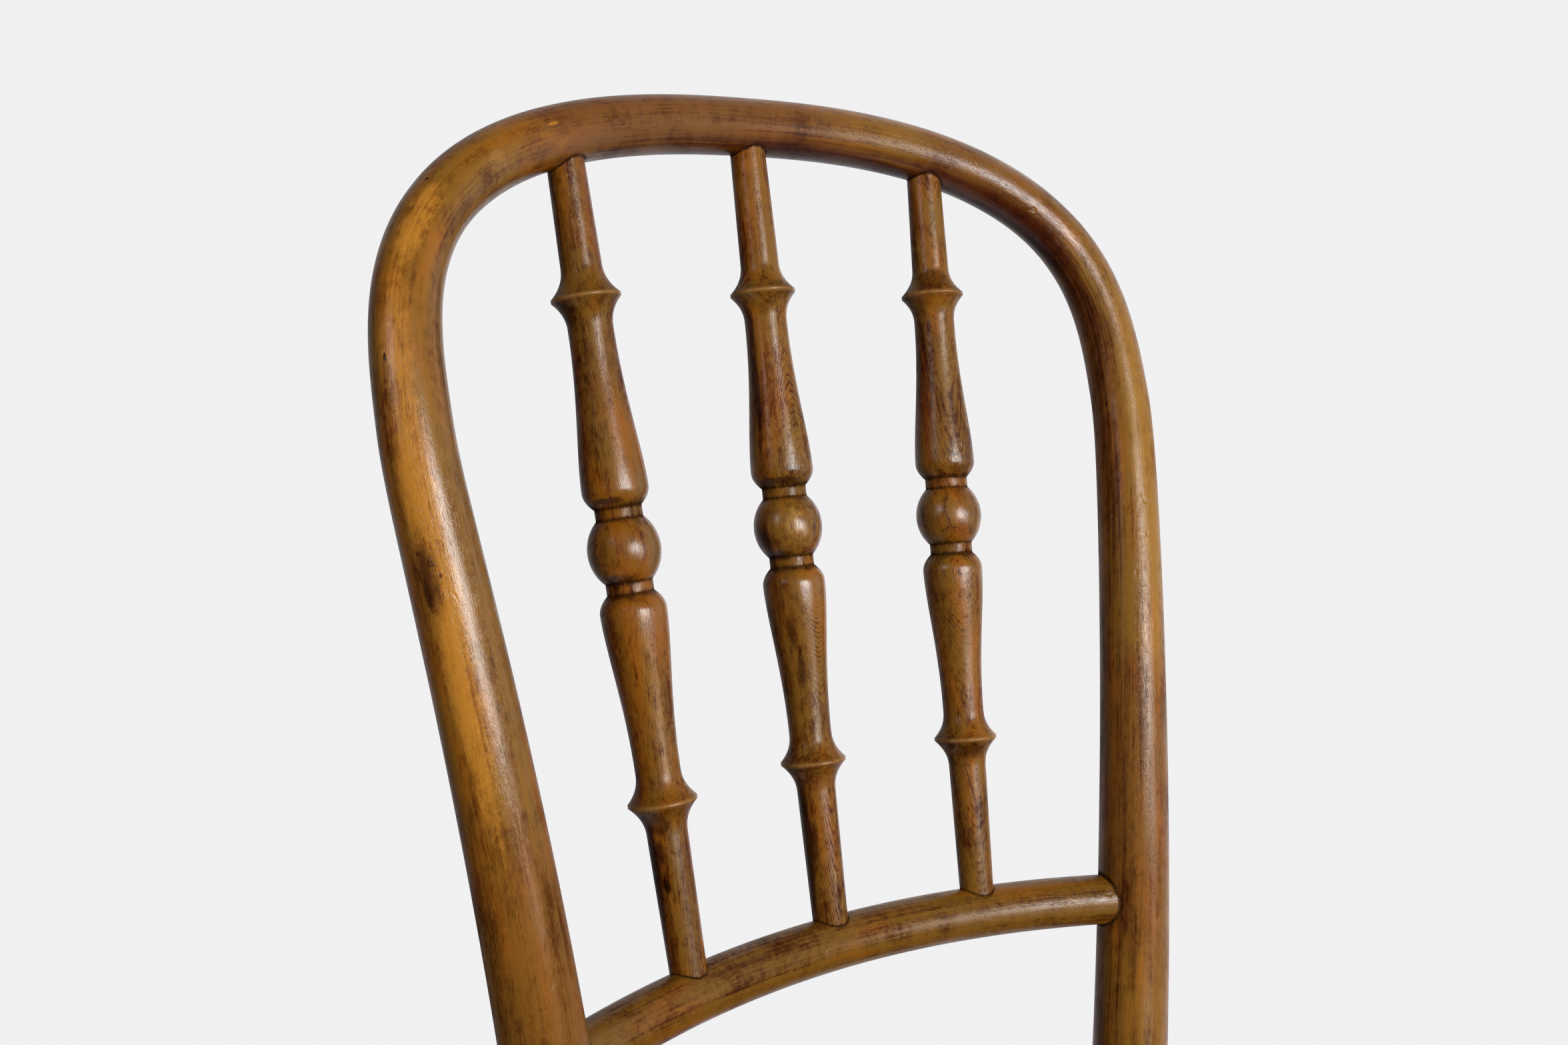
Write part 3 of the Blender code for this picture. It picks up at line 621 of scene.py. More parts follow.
def front_leg_radius(below, length):
    if below < FRONT_LEG_SWELL_BELOW:
        swell = sin(pi / 2 * below / FRONT_LEG_SWELL_BELOW)
        return FRONT_LEG_TOP_RADIUS + (FRONT_LEG_SWELL_RADIUS - FRONT_LEG_TOP_RADIUS) * swell
    share = (below - FRONT_LEG_SWELL_BELOW) / (length - FRONT_LEG_SWELL_BELOW)
    taper = 1 - cos(pi / 2 * share)
    return FRONT_LEG_SWELL_RADIUS + (FRONT_LEG_FOOT_RADIUS - FRONT_LEG_SWELL_RADIUS) * taper


def front_leg_axis(side):
    outward = Vector((side * sin(FRONT_LEG_ANGLE), -cos(FRONT_LEG_ANGLE), 0.0))
    top = seat_centre() + outward * (RIM_RADIUS - RIM_WIDTH / 2) + Vector((0, 0, RIM_BOTTOM))
    foot = top + outward * FRONT_LEG_SPREAD
    foot.z = 0.0
    return top, foot


def front_leg(name, side, pith, grain_start):
    top, foot = front_leg_axis(side)
    length = (top - foot).length + FRONT_LEG_LET_IN
    profile = []
    for share in [0.0, *steps(FRONT_LEG_STEPS)]:
        along = length * share
        radius = front_leg_radius(length - along, length)
        profile.append((along, radius, max(0.0, 1 - 60 * share), 0.0, 0.0))
    return lathe(name, profile, foot, top, pith, grain_start, on_floor=True)


def leg_ring_circle():
    """Centre and centre-line radius of the ring that bears on the inner sides of all four legs."""
    top, foot = front_leg_axis(1)
    front = foot.lerp(top, LEG_RING_HEIGHT / RIM_BOTTOM)
    length = (top - foot).length + FRONT_LEG_LET_IN
    front_radius = front_leg_radius(length - (front - foot).length, length)
    rear = post_point(post_up_at(LEG_RING_HEIGHT))
    y = (rear.x**2 + rear.y**2 - front.x**2 - front.y**2) / (2 * (rear.y - front.y))
    reach = hypot(front.x, front.y - y) - front_radius - LEG_RING_ROD + LEG_RING_LET_IN
    return Vector((0.0, y, LEG_RING_HEIGHT)), reach


def rounded_section(corners):
    """Closed section from corners of (distance out, height, rounding)."""
    section = []
    for i, (x, z, rounding) in enumerate(corners):
        here = Vector((x, z))
        before = (Vector(corners[i - 1][:2]) - here).normalized()
        after = (Vector(corners[(i + 1) % len(corners)][:2]) - here).normalized()
        middle = here + (before + after) * rounding
        count = 8 if rounding > 0.002 else 3
        for step in range(count + 1):
            angle = pi / 2 * step / count
            section.append(middle - after * rounding * cos(angle) - before * rounding * sin(angle))
    return section


def round_piece(name, section, grain_of):
    """Piece of one section all round the seat's centre."""
    section = np.array([tuple(p) for p in section])
    centre = seat_centre()
    turns = np.arange(SEAT_STEPS)[:, None] * 2 * pi / SEAT_STEPS
    out, height = section[:, 0][None], section[:, 1][None]
    x, y = -out * np.sin(turns), out * np.cos(turns)
    spots = np.stack([x, y + centre.y, height + 0 * x], axis=-1)
    turned_by = turns + 0 * x
    grain = grain_of(out + 0 * x, height + 0 * x, turned_by)
    place = np.stack([out * turned_by, height + 0 * x, 0 * x], axis=-1)
    faces = ring_faces(SEAT_STEPS, len(section), True)
    attributes = {"grain": grain.reshape(-1, 3), "place": place.reshape(-1, 3)}
    piece = new_mesh(name, spots.reshape(-1, 3), faces, attributes)
    piece.data.set_sharp_from_angle(angle=SEAT_SHARP_EDGE)
    return piece


def seat_rim():
    inner = RIM_RADIUS - RIM_WIDTH
    rebate = PANEL_THICKNESS + FIT
    corners = [
        (inner + REBATE_WIDTH, SEAT_TOP, RIM_MOUTH_ROUND),
        (RIM_RADIUS, SEAT_TOP, RIM_ROUND),
        (RIM_RADIUS, RIM_BOTTOM, RIM_ROUND),
        (inner, RIM_BOTTOM, RIM_INNER_ROUND),
        (inner, SEAT_TOP - rebate, REBATE_LIP_ROUND),
        (inner + REBATE_WIDTH, SEAT_TOP - rebate, REBATE_CORNER_ROUND),
    ]

    def bent(out, height, turned_by):
        a, b = out - RIM_RADIUS, height - RIM_MIDDLE
        return wood_grain(a, b, turned_by * RIM_RADIUS, RIM_PITH, RIM_PITH_DISTANCE)

    return round_piece("seat_rim_wood", rounded_section(corners), bent)


def seat_panel():
    radius = RIM_RADIUS - RIM_WIDTH + REBATE_WIDTH - 2 * FIT
    bottom = SEAT_TOP - PANEL_THICKNESS
    corners = [
        (PANEL_PINHOLE, SEAT_TOP, 0.0),
        (radius, SEAT_TOP, PANEL_ROUND),
        (radius, bottom, PANEL_LOWER_ROUND),
        (PANEL_PINHOLE, bottom, 0.0),
    ]

    def peeled(out, height, turned_by):
        x, y = -out * np.sin(turned_by), out * np.cos(turned_by)
        depth = VENEER_DEPTH + VENEER_SLOPE * x + VENEER_EDGE_SLOPE * (height - bottom)
        return np.stack([depth, x, y], axis=-1)

    return round_piece("seat_panel_wood", rounded_section(corners), peeled)


class Nodes:
    """Builds the node tree of a material or a world."""

    def __init__(self, owner):
        self.owner = owner
        owner.use_nodes = True
        self.tree = owner.node_tree
        self.shader = self.tree.nodes.get("Principled BSDF")

    def put(self, socket, value):
        if isinstance(value, bpy.types.NodeSocket):
            self.tree.links.new(value, socket)
        elif socket.type == "RGBA":
            socket.default_value = (*value, 1.0)
        else:
            socket.default_value = value

    def add(self, kind, inputs, output=0, **settings):
        node = self.tree.nodes.new("ShaderNode" + kind)
        for key, value in settings.items():
            setattr(node, key, value)
        for key, value in inputs.items():
            self.put(node.inputs[key], value)
        return node.outputs[output]

    def attribute(self, name, output="Vector"):
        return self.add("Attribute", {}, output, attribute_name=name)

    def light_path(self, output):
        return self.add("LightPath", {}, output)

    def math(self, operation, *values, clamp=False):
        return self.add("Math", dict(enumerate(values)), operation=operation, use_clamp=clamp)

    def vector(self, operation, *values, output=0):
        inputs = dict(enumerate(values))
        if operation == "SCALE":
            inputs = {0: values[0], "Scale": values[1]}
        return self.add("VectorMath", inputs, output, operation=operation)

    def dot(self, first, second):
        return self.vector("DOT_PRODUCT", first, tuple(second), output="Value")

    def length(self, value):
        return self.vector("LENGTH", value, output="Value")

    def bump(self, height, strength):
        inputs = {"Strength": strength, "Distance": 1.0, "Height": height}
        return self.add("Bump", inputs, "Normal")

    def noise(self, where, scale, detail=2.0, roughness=0.5, shift=0.0):
        moved = self.vector("MULTIPLY_ADD", where, scale, (shift, 1.7 * shift, 2.3 * shift))
        settings = {"Vector": moved, "Scale": 1.0, "Detail": detail, "Roughness": roughness}
        return self.add("TexNoise", settings)

    def step(self, value, low, high, start=0.0, end=1.0):
        inputs = {0: value, 1: low, 2: high, 3: start, 4: end}
        return self.add("MapRange", inputs, interpolation_type="SMOOTHSTEP")

    def mix(self, share, first, second, blend="MIX"):
        settings = {"data_type": "RGBA", "blend_type": blend}
        return self.add("Mix", {0: share, 6: first, 7: second}, 2, **settings)

    def times(self, *values):
        result = values[0]
        for value in values[1:]:
            result = self.math("MULTIPLY", result, value)
        return result

    def plus(self, *values):
        result = values[0]
        for value in values[1:]:
            result = self.math("ADD", result, value)
        return result

    def spot(self, where, centre, size, soft, slant):
        """One inside an oval that leans by the slant, falling to nothing at its edge."""
        away = self.vector("SUBTRACT", where, (*centre, 0.0))
        across = self.dot(away, (1 / size[0], -slant / size[0], 0.0))
        along = self.dot(away, (0.0, 1 / size[1], 0.0))
        reach = self.math("SQRT", self.plus(self.times(across, across), self.times(along, along)))
        return self.step(reach, 1.0, 1.0 - soft)


def beech(
    name, seed, marks=(), joints=(), tone=0.8, warmth=0.0, ring=0.0018, rings=0.2,
    streaks=1.0, mottled=1.3, coat=0.2, film=1.05,
):
    """Old stained beech under varnish, with its marks, the dirt round its joints, and painted
    light: paler and more olive on the side turned to the window lamp, darker and redder on the far
    side.
    """
    nodes = Nodes(bpy.data.materials.new(name))
    plus, times, step, mix = nodes.plus, nodes.times, nodes.step, nodes.mix
    grain = nodes.attribute("grain")
    place = nodes.attribute("place")
    world = nodes.add("NewGeometry", {}, "Position")
    outward = nodes.add("SeparateXYZ", {0: grain}, "X")

    def noise(where, scale, detail, roughness, shift):
        return nodes.noise(where, scale, detail, roughness, seed + shift)

    # Growth rings, which wander along the stick, have ragged edges and come and go
    wander = noise(grain, RING_WANDER, 2.0, 0.55, 0.0)
    ripple = noise(grain, RING_RIPPLE, 3.0, 0.6, 3.0)
    depth = plus(outward, times(wander, 3.0 * ring), times(ripple, 0.7 * ring))
    year = nodes.math("FRACT", times(depth, 1 / ring))
    late = times(step(year, 0.25, 0.90), step(year, 1.0, 0.90))
    shown = step(noise(grain, RING_SHOWS, 2.0, 0.5, 10.0), 0.38, 0.66, 0.45, 1.3)

    # Fibres, pores and rays
    fibre = noise(grain, FIBRES, 3.0, 0.70, 5.0)
    streak = noise(grain, STREAKS, 3.0, 0.65, 6.0)
    band = noise(grain, BANDS, 3.0, 0.55, 7.0)
    pore = step(noise(grain, PORES, 1.0, 0.4, 8.0), 0.56, 0.70)
    pore = times(pore, step(band, 0.38, 0.62, 0.25, 1.0))
    fleck = step(noise(grain, RAYS, 1.0, 0.4, 11.0), 0.60, 0.72)

    # Hues that change along the stick, and painted light: more olive on the side turned to the
    # window lamp, redder on the side turned from it
    hue = noise(grain, HUE, 3.0, 0.6, 2.0)
    redness = noise(grain, REDNESS, 3.0, 0.6, 4.0)
    mottle = noise(world, MOTTLE, 3.0, 0.65, 1.0)
    cloud = noise(world, CLOUD, 3.0, 0.6, 9.0)
    painted_lit_side = nodes.dot(nodes.add("NewGeometry", {}, "Normal"), PAINTED_LIGHT_WAY)
    olive = step(plus(hue, -warmth, times(painted_lit_side, 0.06)), 0.36, 0.64)
    colour = mix(olive, ORANGE, OLIVE)
    redness = plus(redness, warmth, times(painted_lit_side, -0.12))
    colour = mix(step(redness, 0.42, 0.64, 0.0, 0.85), colour, RED_BROWN)
    colour = nodes.vector("SCALE", colour, tone)

    # Marks of this piece, and old varnish kept where no hand has rubbed
    ragged = noise(place, RAGGED, 3.0, 0.6, 13.0)
    frayed = noise(place, FRAYED, 4.0, 0.6, 14.0)
    torn = plus(times(frayed, 1.4), times(ragged, 0.7), -1.05)
    for centre, size, paint, amount, soft, *slant in marks:
        oval = nodes.spot(place, centre, size, soft, sum(slant))
        edge = times(step(plus(oval, torn), 0.00, 0.80), step(oval, 0.0, 0.3))
        colour = mix(times(edge, amount), colour, paint)
    kept = nodes.attribute("kept", "Fac")
    patchy = plus(times(band, 1.2), times(streak, 1.2), times(cloud, 0.8), -1.6)
    patchy = times(step(plus(kept, patchy), 0.15, 1.05), step(kept, 0.0, 0.3))
    colour = mix(patchy, colour, OLD_VARNISH)

    # Darker stain in the grain, and painted shade on the side turned from the window lamp
    dark = plus(
        0.30,
        times(plus(streak, -0.5), 1.7 * streaks),
        times(plus(band, -0.5), 1.7 * streaks),
        times(plus(fibre, -0.5), 1.25),
        times(plus(mottle, -0.5), 1.3 * mottled),
        times(plus(cloud, -0.5), 1.8),
        times(late, shown, rings),
        times(pore, 0.25 * streaks),
        times(fleck, -0.30 * streaks),
        # painted shade and light: darker on the side turned from the window lamp, lighter on the
        # side turned to it
        times(painted_lit_side, -0.20),
    )
    specks = step(noise(place, SPECKS, 1.0, 0.4, 15.0), 0.78, 0.83)
    dark = plus(step(dark, -0.15, 1.20), times(specks, 0.5))
    colour = mix(dark, colour, mix(1.0, colour, STAIN, "MULTIPLY"))

    # Dirt in the hollows and round the joints, and bare edges
    grime = nodes.attribute("grime", "Fac")
    for middle, way, radius, limit, spread in joints:
        away = nodes.vector("SUBTRACT", world, tuple(middle))
        off_axis = nodes.length(nodes.vector("CROSS_PRODUCT", away, tuple(way)))
        close = step(off_axis, radius + spread, radius + 0.2 * spread)
        near = step(nodes.length(away), limit, 0.9 * limit)
        grime = nodes.math("MAXIMUM", grime, times(close, near, 0.85))
    uneven = plus(times(ragged, 0.8), times(frayed, 1.1), -0.35)
    grime = step(times(grime, uneven), 0.06, 0.60)
    colour = mix(times(grime, 0.85), colour, GRIME)
    wear = nodes.attribute("wear", "Fac")
    worn = step(times(wear, plus(ragged, frayed)), 0.35, 1.0)
    colour = mix(times(worn, 0.40), colour, WORN)

    # Satin varnish, duller and thinner where it's worn, dirty or open-grained
    rub = noise(world, RUBBING, 3.0, 0.6, 17.0)
    rough = plus(
        BASE_ROUGHNESS,
        times(rub, 0.20),
        times(fibre, 0.12),
        times(pore, 0.15),
        times(grime, 0.30),
    )
    varnish = plus(
        film,
        times(nodes.attribute("polish", "Fac"), 0.55),
        times(grime, -0.6),
        times(rub, -0.75),
        times(dark, -0.45),
    )

    # Relief: soft waves left by hand sanding, fibres, pores and dents
    dent = step(noise(place, DENTS, 1.0, 0.4, 21.0), 0.70, 0.80)
    relief = plus(
        times(noise(place, WAVES, 2.0, 0.5, 19.0), WAVE_HEIGHT),
        times(fibre, FIBRE_HEIGHT),
        times(noise(grain, SANDING, 2.0, 0.6, 23.0), SANDING_HEIGHT),
        times(pore, PORE_HEIGHT),
        times(dent, DENT_HEIGHT),
        times(grime, ragged, GRIME_HEIGHT),
    )

    inputs = nodes.shader.inputs
    nodes.put(inputs["Base Color"], colour)
    nodes.put(inputs["Roughness"], nodes.math("MINIMUM", rough, TOP_ROUGHNESS))
    nodes.put(inputs["Coat Weight"], nodes.math("MAXIMUM", varnish, 0.0))
    nodes.put(inputs["Normal"], nodes.bump(relief, WOOD_RELIEF))
    nodes.put(inputs["Coat Normal"], nodes.bump(relief, FILM_RELIEF))
    inputs["Coat Roughness"].default_value = coat
    inputs["Coat IOR"].default_value = VARNISH_IOR
    inputs["Specular IOR Level"].default_value = WOOD_SPECULAR
    return nodes.owner


def old_steel(name):
    """Dark steel with brown tarnish, rubbed brighter in places."""
    nodes = Nodes(bpy.data.materials.new(name))
    plus, times = nodes.plus, nodes.times
    world = nodes.add("NewGeometry", {}, "Position")
    cloud = nodes.noise(world, (420.0, 420.0, 420.0), 4.0, 0.6, 1.0)
    fine = nodes.noise(world, (2600.0, 2600.0, 2600.0), 3.0, 0.6, 2.0)
    tarnish = nodes.step(plus(cloud, times(fine, 0.4)), 0.55, 0.85)
    rough = plus(0.34, times(tarnish, 0.35), times(fine, 0.1))
    relief = plus(times(cloud, 0.00015), times(fine, 0.00005))
    inputs = nodes.shader.inputs
    nodes.put(inputs["Base Color"], nodes.mix(tarnish, BARE_STEEL, TARNISH))
    nodes.put(inputs["Metallic"], nodes.step(tarnish, 1.0, 0.3, 0.25, 1.0))
    nodes.put(inputs["Roughness"], rough)
    nodes.put(inputs["Normal"], nodes.bump(relief, 0.8))
    return nodes.owner


def dress(piece, node, material):
    """Gives a piece its material, and puts it in its node's place."""
    piece.data.materials.append(material)
    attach(piece, "root")
    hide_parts(node)


def joints_of_chair():
    """Joints that the hoop, the rail and the spindles show dirt at.

    Each is its middle, the way and radius of the neighbour, and the dirt's reach and width.
    """
    hoop, rail, spindles = [], [], {}
    for word, spot in SPINDLE_SPOTS.items():
        top, bottom = spindle_axis(spot)
        up = (top - bottom).normalized()
        end = (up, SPINDLE_END_RADIUS, SPINDLE_DIRT_REACH)
        hoop.append((top - up * ROD_TOP_RADIUS, *end, HOOP_DIRT_BY_SPINDLE))
        rail.append((bottom + up * RAIL_RADIUS, *end, RAIL_DIRT_BY_SPINDLE))
        hoop_way = tangent(arch_point, SPINDLE_SPACING_TOP * spot)
        rail_way = tangent(rail_point, SPINDLE_SPACING_RAIL * spot)
        spindles[word] = [
            (top, hoop_way, ROD_TOP_RADIUS, RAIL_DIRT_REACH, SPINDLE_DIRT_BY_HOOP),
            (bottom, rail_way, RAIL_RADIUS, RAIL_DIRT_REACH, SPINDLE_DIRT_BY_RAIL),
        ]
    level = -RAIL_BELOW_BALLS
    post, post_radius = post_point(level), rod_radius(level)
    post_way = tangent(post_point, level)
    for side in SIDES.values():
        mouth = side * (rail_end() - RAIL_TENON)
        rail_way = tangent(rail_point, mouth)
        hoop.append((rail_point(mouth), rail_way, RAIL_RADIUS, RAIL_DIRT_REACH, HOOP_DIRT_BY_RAIL))
        mirror = Vector((side, 1, 1))
        way = post_way * mirror
        rail.append((post * mirror, way, post_radius, POST_DIRT_REACH, RAIL_DIRT_BY_HOOP))
    return hoop, rail, spindles


def dress_back():
    hoop_joints, rail_joints, spindle_joints = joints_of_chair()

    points, radii = hoop_line()
    hoop = swept(
        "back_hoop_wood", points, radii, BACK_NORMAL, HOOP_PITH,
        on_floor=True, kept=hoop_kept, polish=hoop_polish,
    )
    material = beech(
        "hoop_beech", SEEDS["back_hoop"], HOOP_MARKS, hoop_joints,
        tone=0.86, warmth=-0.05, rings=0.10, streaks=0.8, mottled=0.8, film=1.30,
    )
    dress(hoop, "back_hoop", material)

    end = rail_end()
    points = [rail_point(end * (2 * i / RAIL_STEPS - 1)) for i in range(RAIL_STEPS + 1)]
    radii = [RAIL_RADIUS] * len(points)
    rail = swept("lower_back_rail_wood", points, radii, BACK_NORMAL, RAIL_PITH, RAIL_START)
    material = beech(
        "rail_beech", SEEDS["lower_back_rail"], RAIL_MARKS, rail_joints,
        tone=0.66, warmth=-0.09, rings=0.10, mottled=1.0,
    )
    dress(rail, "lower_back_rail", material)

    for word, spot in SPINDLE_SPOTS.items():
        angle, distance, start, runout, seed, *wood, marks = SPINDLE_WOOD[word]
        name = "spindle_" + word
        pith, runout = radians(angle), radians(runout)
        piece = spindle(name + "_wood", spot, pith, start, runout, distance)
        joints = spindle_joints[word]
        material = beech(name + "_beech", seed, marks, joints, *wood, coat=0.25)
        dress(piece, name, material)


def dress_seat_and_legs():
    def plain_beech(name, node, **wood):
        return beech(name, SEEDS[node], warmth=-0.05, streaks=0.8, mottled=0.9, **wood)

    dress(seat_rim(), "seat_rim", plain_beech("rim_beech", "seat_rim"))
    material = plain_beech("panel_beech", "seat_panel", rings=0.35)
    dress(seat_panel(), "seat_panel", material)
    for word, side in SIDES.items():
        name = "front_leg_" + word
        piece = front_leg(name + "_wood", side, radians(40 + 70 * side), FRONT_LEG_START + side)
        dress(piece, name, plain_beech(name + "_beech", name))

    centre, reach = leg_ring_circle()
    turns = [2 * pi * i / LEG_RING_STEPS for i in range(LEG_RING_STEPS)]
    points = [centre + reach * Vector((sin(turn), cos(turn), 0.0)) for turn in turns]
    ring = swept(
        "leg_ring_wood", points, [LEG_RING_ROD] * len(points), Vector((0, 0, 1)),
        LEG_RING_PITH, LEG_RING_START, closed=True,
    )
    dress(ring, "leg_ring", plain_beech("ring_beech", "leg_ring"))


def dress_steel():
    steel = old_steel("old_steel")
    for name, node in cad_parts.items():
        if name.startswith(("seat_bolt", "seat_washer", "seat_nut", "leg_ring_screw")):
            for slot in node.material_slots:
                slot.material = steel


# Ovals on a piece: place of their middle and half size, both (round it, along it) in metres,
# colour, strength, softness and, where the oval leans, its slant
HOOP_MARKS = [
    ((-0.0020, 0.9850), (0.0400, 0.1150), BROWN, 0.75, 0.7),
    ((0.0000, 0.5600), (0.0450, 0.0900), BROWN, 0.45, 0.8),
    ((0.0000, 1.1500), (0.0450, 0.0700), BROWN, 0.50, 0.9),
    ((0.0130, 1.1600), (0.0090, 0.0800), OLD_VARNISH, 0.70, 1.0),
    ((0.0180, 1.2800), (0.0080, 0.1200), BROWN, 0.50, 1.0),
    ((-0.0090, 0.7300), (0.0100, 0.1500), GOLD, 0.80, 0.9),
    ((-0.0020, 1.3200), (0.0160, 0.1400), FADED_AND_SHEEN, 0.50, 0.9),
    ((0.0080, 1.4700), (0.0450, 0.0900), BROWN, 0.45, 0.7),
    ((-0.0072, 0.8420), (0.0080, 0.0240), GOLD, 0.75, 0.9),
    ((0.0010, 0.8842), (0.0070, 0.0070), WORN, 0.35, 0.9),
    ((-0.0035, 0.9181), (0.0010, 0.0035), GOLD, 0.90, 0.6),
    ((-0.0126, 0.8592), (0.0008, 0.0010), GRIME, 1.00, 0.4),
    ((-0.0131, 0.7933), (0.0007, 0.0018), GRIME, 0.95, 0.4),
    ((-0.0126, 0.7190), (0.0075, 0.0240), BROWN, 0.85, 1.0),
    ((-0.0130, 0.7180), (0.0055, 0.0190), DARK, 0.55, 1.0),
    ((-0.0143, 0.7270), (0.0018, 0.0022), DARK, 0.70, 1.0),
    ((-0.0104, 0.7228), (0.0022, 0.0028), DARK, 0.60, 1.0),
    ((-0.0139, 0.7120), (0.0030, 0.0090), DARK, 0.70, 1.0),
    ((-0.0079, 0.7180), (0.0012, 0.0014), DARK, 0.70, 1.0),
    ((0.0105, 1.1302), (0.0011, 0.0013), GRIME, 0.80, 0.7),
    ((0.0111, 1.1403), (0.0014, 0.0018), GRIME, 0.70, 0.7),
    ((0.0121, 1.1549), (0.0010, 0.0012), GRIME, 0.80, 0.7),
    ((0.0176, 1.2827), (0.0007, 0.0020), GRIME, 0.90, 0.7),
    ((0.0193, 1.3362), (0.0006, 0.0007), PALE_CHIP, 0.90, 0.6),
    ((0.0225, 1.3595), (0.0005, 0.0009), BLUE_SPECK, 0.90, 0.6),
]
RAIL_MARKS = [
    ((0.0150, 3.3700), (0.0140, 0.0140), DARK, 0.80, 1.0),
]

# Pith's angle and distance, start in the grain, the grain's run-out, seed, tone, warmth, spacing
# and strength of the growth rings, and marks
SPINDLE_WOOD = {
    "left": (-150.0, 0.070, 1.3, 0.5, 11.0, 0.66, 0.02, 0.0007, 0.24, [
        # painted shadow: a soft dark oval under the upper ring's left side, on the side away from
        # the window lamp
        ((-0.0080, 0.0930), (0.0090, 0.0090), DARK, 0.75, 0.7),
        ((-0.0035, 0.0953), (0.0040, 0.0024), DARK, 0.90, 1.0),
        # red-brown stain on the upper vase's left side, partly a painted shade of the side turned
        # from the window lamp
        ((-0.0075, 0.0600), (0.0050, 0.0500), RED_BROWN, 0.70, 1.0),
        ((-0.0010, 0.0200), (0.0110, 0.0022), DARK, 0.80, 0.9),
        ((-0.0020, -0.0115), (0.0120, 0.0045), DARK, 0.80, 1.0),
        # red-brown stain on the lower vase's left side, partly a painted shade of the side turned
        # from the window lamp
        ((-0.0100, -0.0500), (0.0060, 0.0400), RED_BROWN, 0.80, 1.0),
        ((-0.0030, -0.1070), (0.0110, 0.0070), DARK, 0.70, 0.8),
        ((-0.0065, -0.1300), (0.0050, 0.0320), DARK, 0.80, 0.7),
        ((-0.0022, -0.1190), (0.0030, 0.0080), DARK, 0.80, 1.0),
        ((-0.0014, -0.1320), (0.0026, 0.0055), DARK, 0.90, 1.0),
        ((-0.0008, -0.1330), (0.0014, 0.0020), GRIME, 0.80, 1.0),
        # olive tone on the lower vase's right side, partly a painted sheen of the side turned to
        # the window lamp
        ((0.0060, -0.0600), (0.0050, 0.0500), OLIVE, 0.80, 0.9),
    ]),
    "middle": (-80.8, 0.009, 2.1, 0.83, 17.0, 0.74, -0.03, 0.00024, 0.52, [
        ((-0.0060, 0.0600), (0.0034, 0.0360), PURPLE, 0.85, 1.0),
        ((-0.0062, 0.0860), (0.0026, 0.0130), PURPLE, 0.85, 1.0),
        ((0.0000, 0.0196), (0.0150, 0.0024), DARK, 0.80, 0.9),
        ((-0.0092, -0.0050), (0.0060, 0.0100), DARK, 0.85, 1.0),
        ((-0.0030, -0.0115), (0.0100, 0.0036), DARK, 0.80, 1.0),
        ((-0.0010, -0.0450), (0.0040, 0.0140), DARK, 0.70, 1.0),
        ((0.0010, -0.0600), (0.0030, 0.0140), DARK, 0.75, 1.0),
        ((-0.0010, -0.1080), (0.0110, 0.0060), BROWN, 0.80, 1.0),
        ((-0.0066, -0.1330), (0.0058, 0.0350), DARK, 0.85, 0.6),
        ((-0.0020, -0.1340), (0.0034, 0.0180), DARK, 0.80, 1.0),
        ((0.0055, -0.1380), (0.0014, 0.0120), BROWN, 0.80, 1.0),
        # painted sheen: the ball's right side, turned to the window lamp, is painted paler
        ((0.0060, 0.0000), (0.0080, 0.0120), FADED_AND_SHEEN, 0.60, 1.0),
    ]),
    "right": (-107.8, 0.070, 4.2, 10.0, 23.0, 0.74, -0.03, 0.0008, 0.32, [
        # red-brown stain on the upper vase's left side, partly a painted shade of the side turned
        # from the window lamp
        ((-0.0060, 0.0500), (0.0034, 0.0500), RED_BROWN, 0.80, 0.9),
        ((0.0010, 0.1060), (0.0110, 0.0070), DARK, 0.60, 0.7),
        ((0.0030, -0.1050), (0.0110, 0.0060), DARK, 0.65, 1.0, -0.30),
        ((0.0016, -0.1210), (0.0008, 0.0190), DARK, 0.60, 0.9, -0.22),
    ]),
}


def area_light(name, turn, height, distance, width, tall, watts, colour, glossy):
    azimuth = CAMERA_AZIMUTH + pi - radians(turn)
    way = Vector((sin(azimuth), cos(azimuth), tan(radians(height)))).normalized()
    light = bpy.data.lights.new(name, "AREA")
    light.shape = "RECTANGLE"
    light.size = width
    light.size_y = tall
    light.energy = watts
    light.color = colour
    lamp = bpy.data.objects.new(name, light)
    lamp.location = BACK_MIDDLE + way * distance
    lamp.rotation_euler = way.to_track_quat("Z", "Y").to_euler()
    lamp.visible_glossy = glossy
    bpy.context.scene.collection.objects.link(lamp)


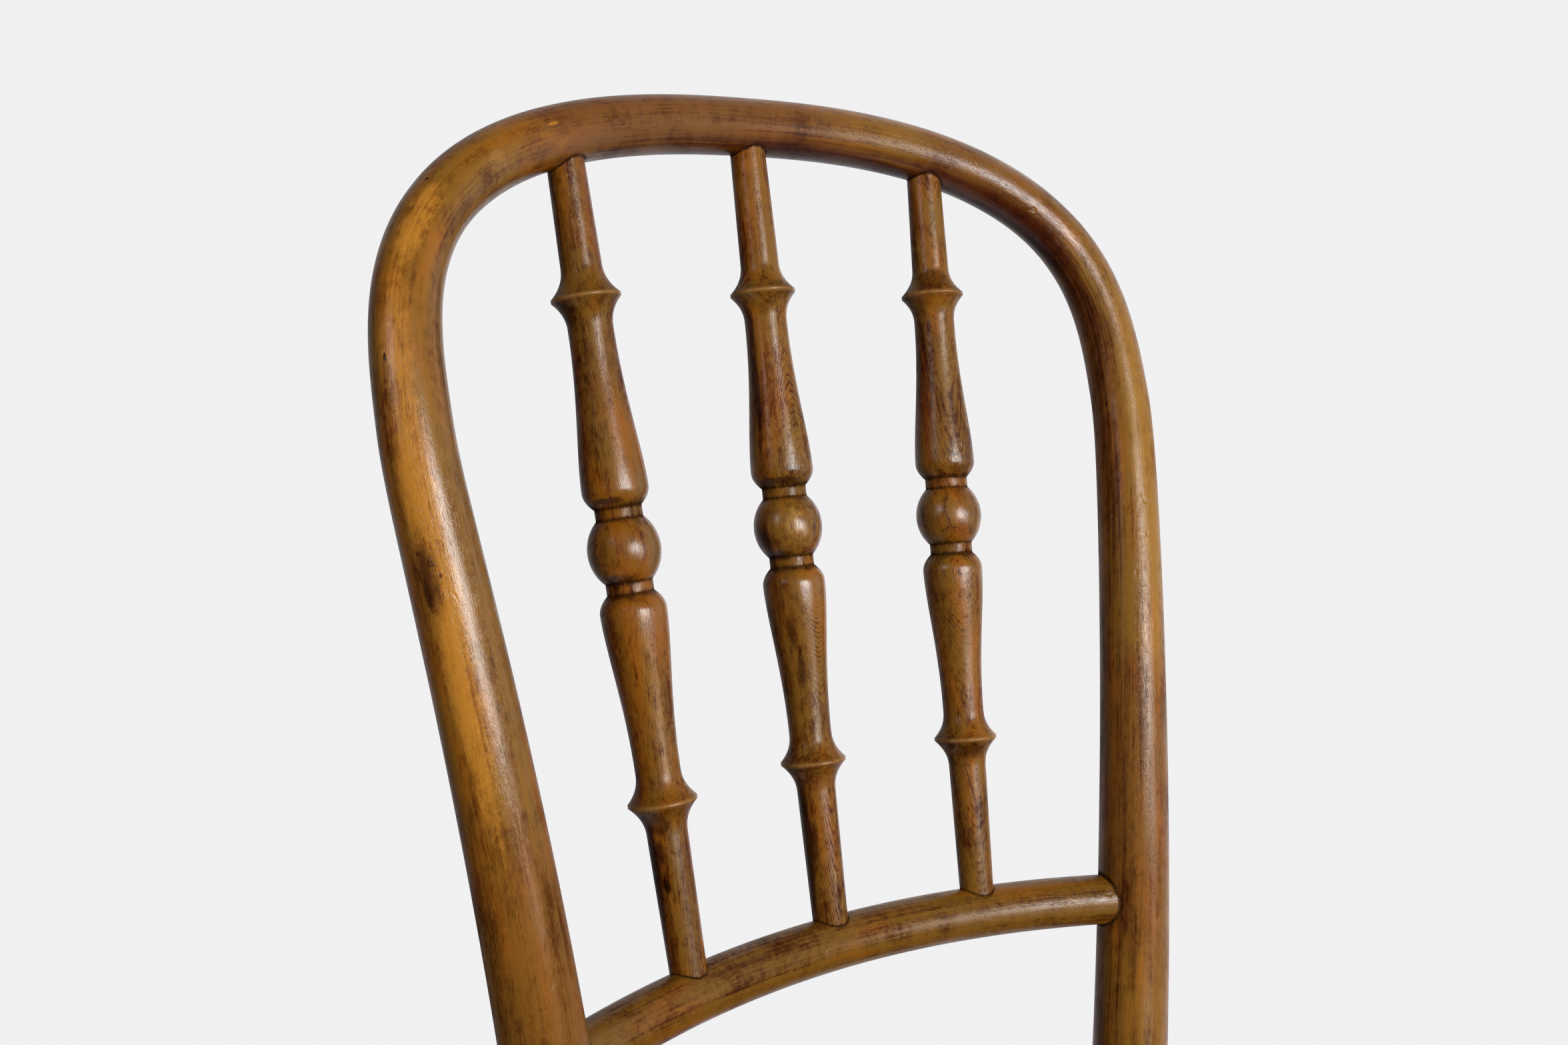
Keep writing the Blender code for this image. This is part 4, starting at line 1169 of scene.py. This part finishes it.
def room():
    """Backdrop that is white to the camera, and the room's plain light on the chair."""
    world = bpy.data.worlds.new("studio")
    bpy.context.scene.world = world
    nodes = Nodes(world)
    background = nodes.tree.nodes["Background"]
    way = nodes.add("TexCoord", {}, "Generated")
    wall = nodes.dot(way, (sin(CAMERA_AZIMUTH), cos(CAMERA_AZIMUTH), 0.0))
    wall = nodes.step(wall, 0.10, 1.00)
    sunny_azimuth = CAMERA_AZIMUTH + radians(SUNNY_WALL_TURN)
    sunny_wall = nodes.dot(way, (sin(sunny_azimuth), cos(sunny_azimuth), 0.0))
    sunny_wall = nodes.step(sunny_wall, 0.35, 1.00)
    glossy, clear = nodes.light_path("Is Glossy Ray"), nodes.light_path("Is Transmission Ray")
    shine = nodes.plus(
        nodes.times(sunny_wall, SUNNY_WALL_SHINE),
        nodes.times(wall, WALL_SHINE),
    )
    shine = nodes.times(nodes.math("MAXIMUM", glossy, clear), shine)
    lit = nodes.plus(ROOM_LIGHT, nodes.times(wall, WALL_LIGHT), shine)
    seen = nodes.math("MAXIMUM", lit, nodes.light_path("Is Camera Ray"))
    nodes.put(background.inputs["Strength"], seen)
    background.inputs["Color"].default_value = (*WALL_COLOUR, 1.0)


def floor_disc():
    mesh = bpy.data.meshes.new("floor")
    shape = bmesh.new()
    bmesh.ops.create_circle(shape, cap_ends=True, segments=FLOOR_SIDES, radius=FLOOR_RADIUS)
    shape.to_mesh(mesh)
    shape.free()
    floor = bpy.data.objects.new("floor", mesh)
    bpy.context.scene.collection.objects.link(floor)
    nodes = Nodes(bpy.data.materials.new("floor_paint"))
    nodes.shader.inputs["Base Color"].default_value = (*FLOOR_COLOUR, 1.0)
    nodes.shader.inputs["Roughness"].default_value = FLOOR_ROUGHNESS
    reach = nodes.length(nodes.add("NewGeometry", {}, "Position"))
    clear = nodes.add("BsdfTransparent", {})
    shares = {0: nodes.step(reach, *FLOOR_FADES), 1: nodes.shader.outputs[0], 2: clear}
    surface = nodes.tree.nodes["Material Output"].inputs["Surface"]
    nodes.put(surface, nodes.add("MixShader", shares))
    mesh.materials.append(nodes.owner)


def studio():
    bpy.context.scene.view_settings.view_transform = "Standard"
    for name, lamp in LAMPS.items():
        area_light(name, *lamp)
    room()
    floor_disc()


def photo_camera():
    camera = bpy.data.objects.new("camera", bpy.data.cameras.new("camera"))
    camera.data.sensor_width = SENSOR_WIDTH
    camera.data.lens = CAMERA_LENS
    camera.data.clip_start = CLIP_START
    camera.location = CAMERA_PLACE
    camera.rotation_euler = (pi / 2 - CAMERA_DIP, 0.0, -CAMERA_AZIMUTH)
    bpy.context.scene.collection.objects.link(camera)
    bpy.context.scene.camera = camera


dress_back()
dress_seat_and_legs()
dress_steel()
studio()
photo_camera()
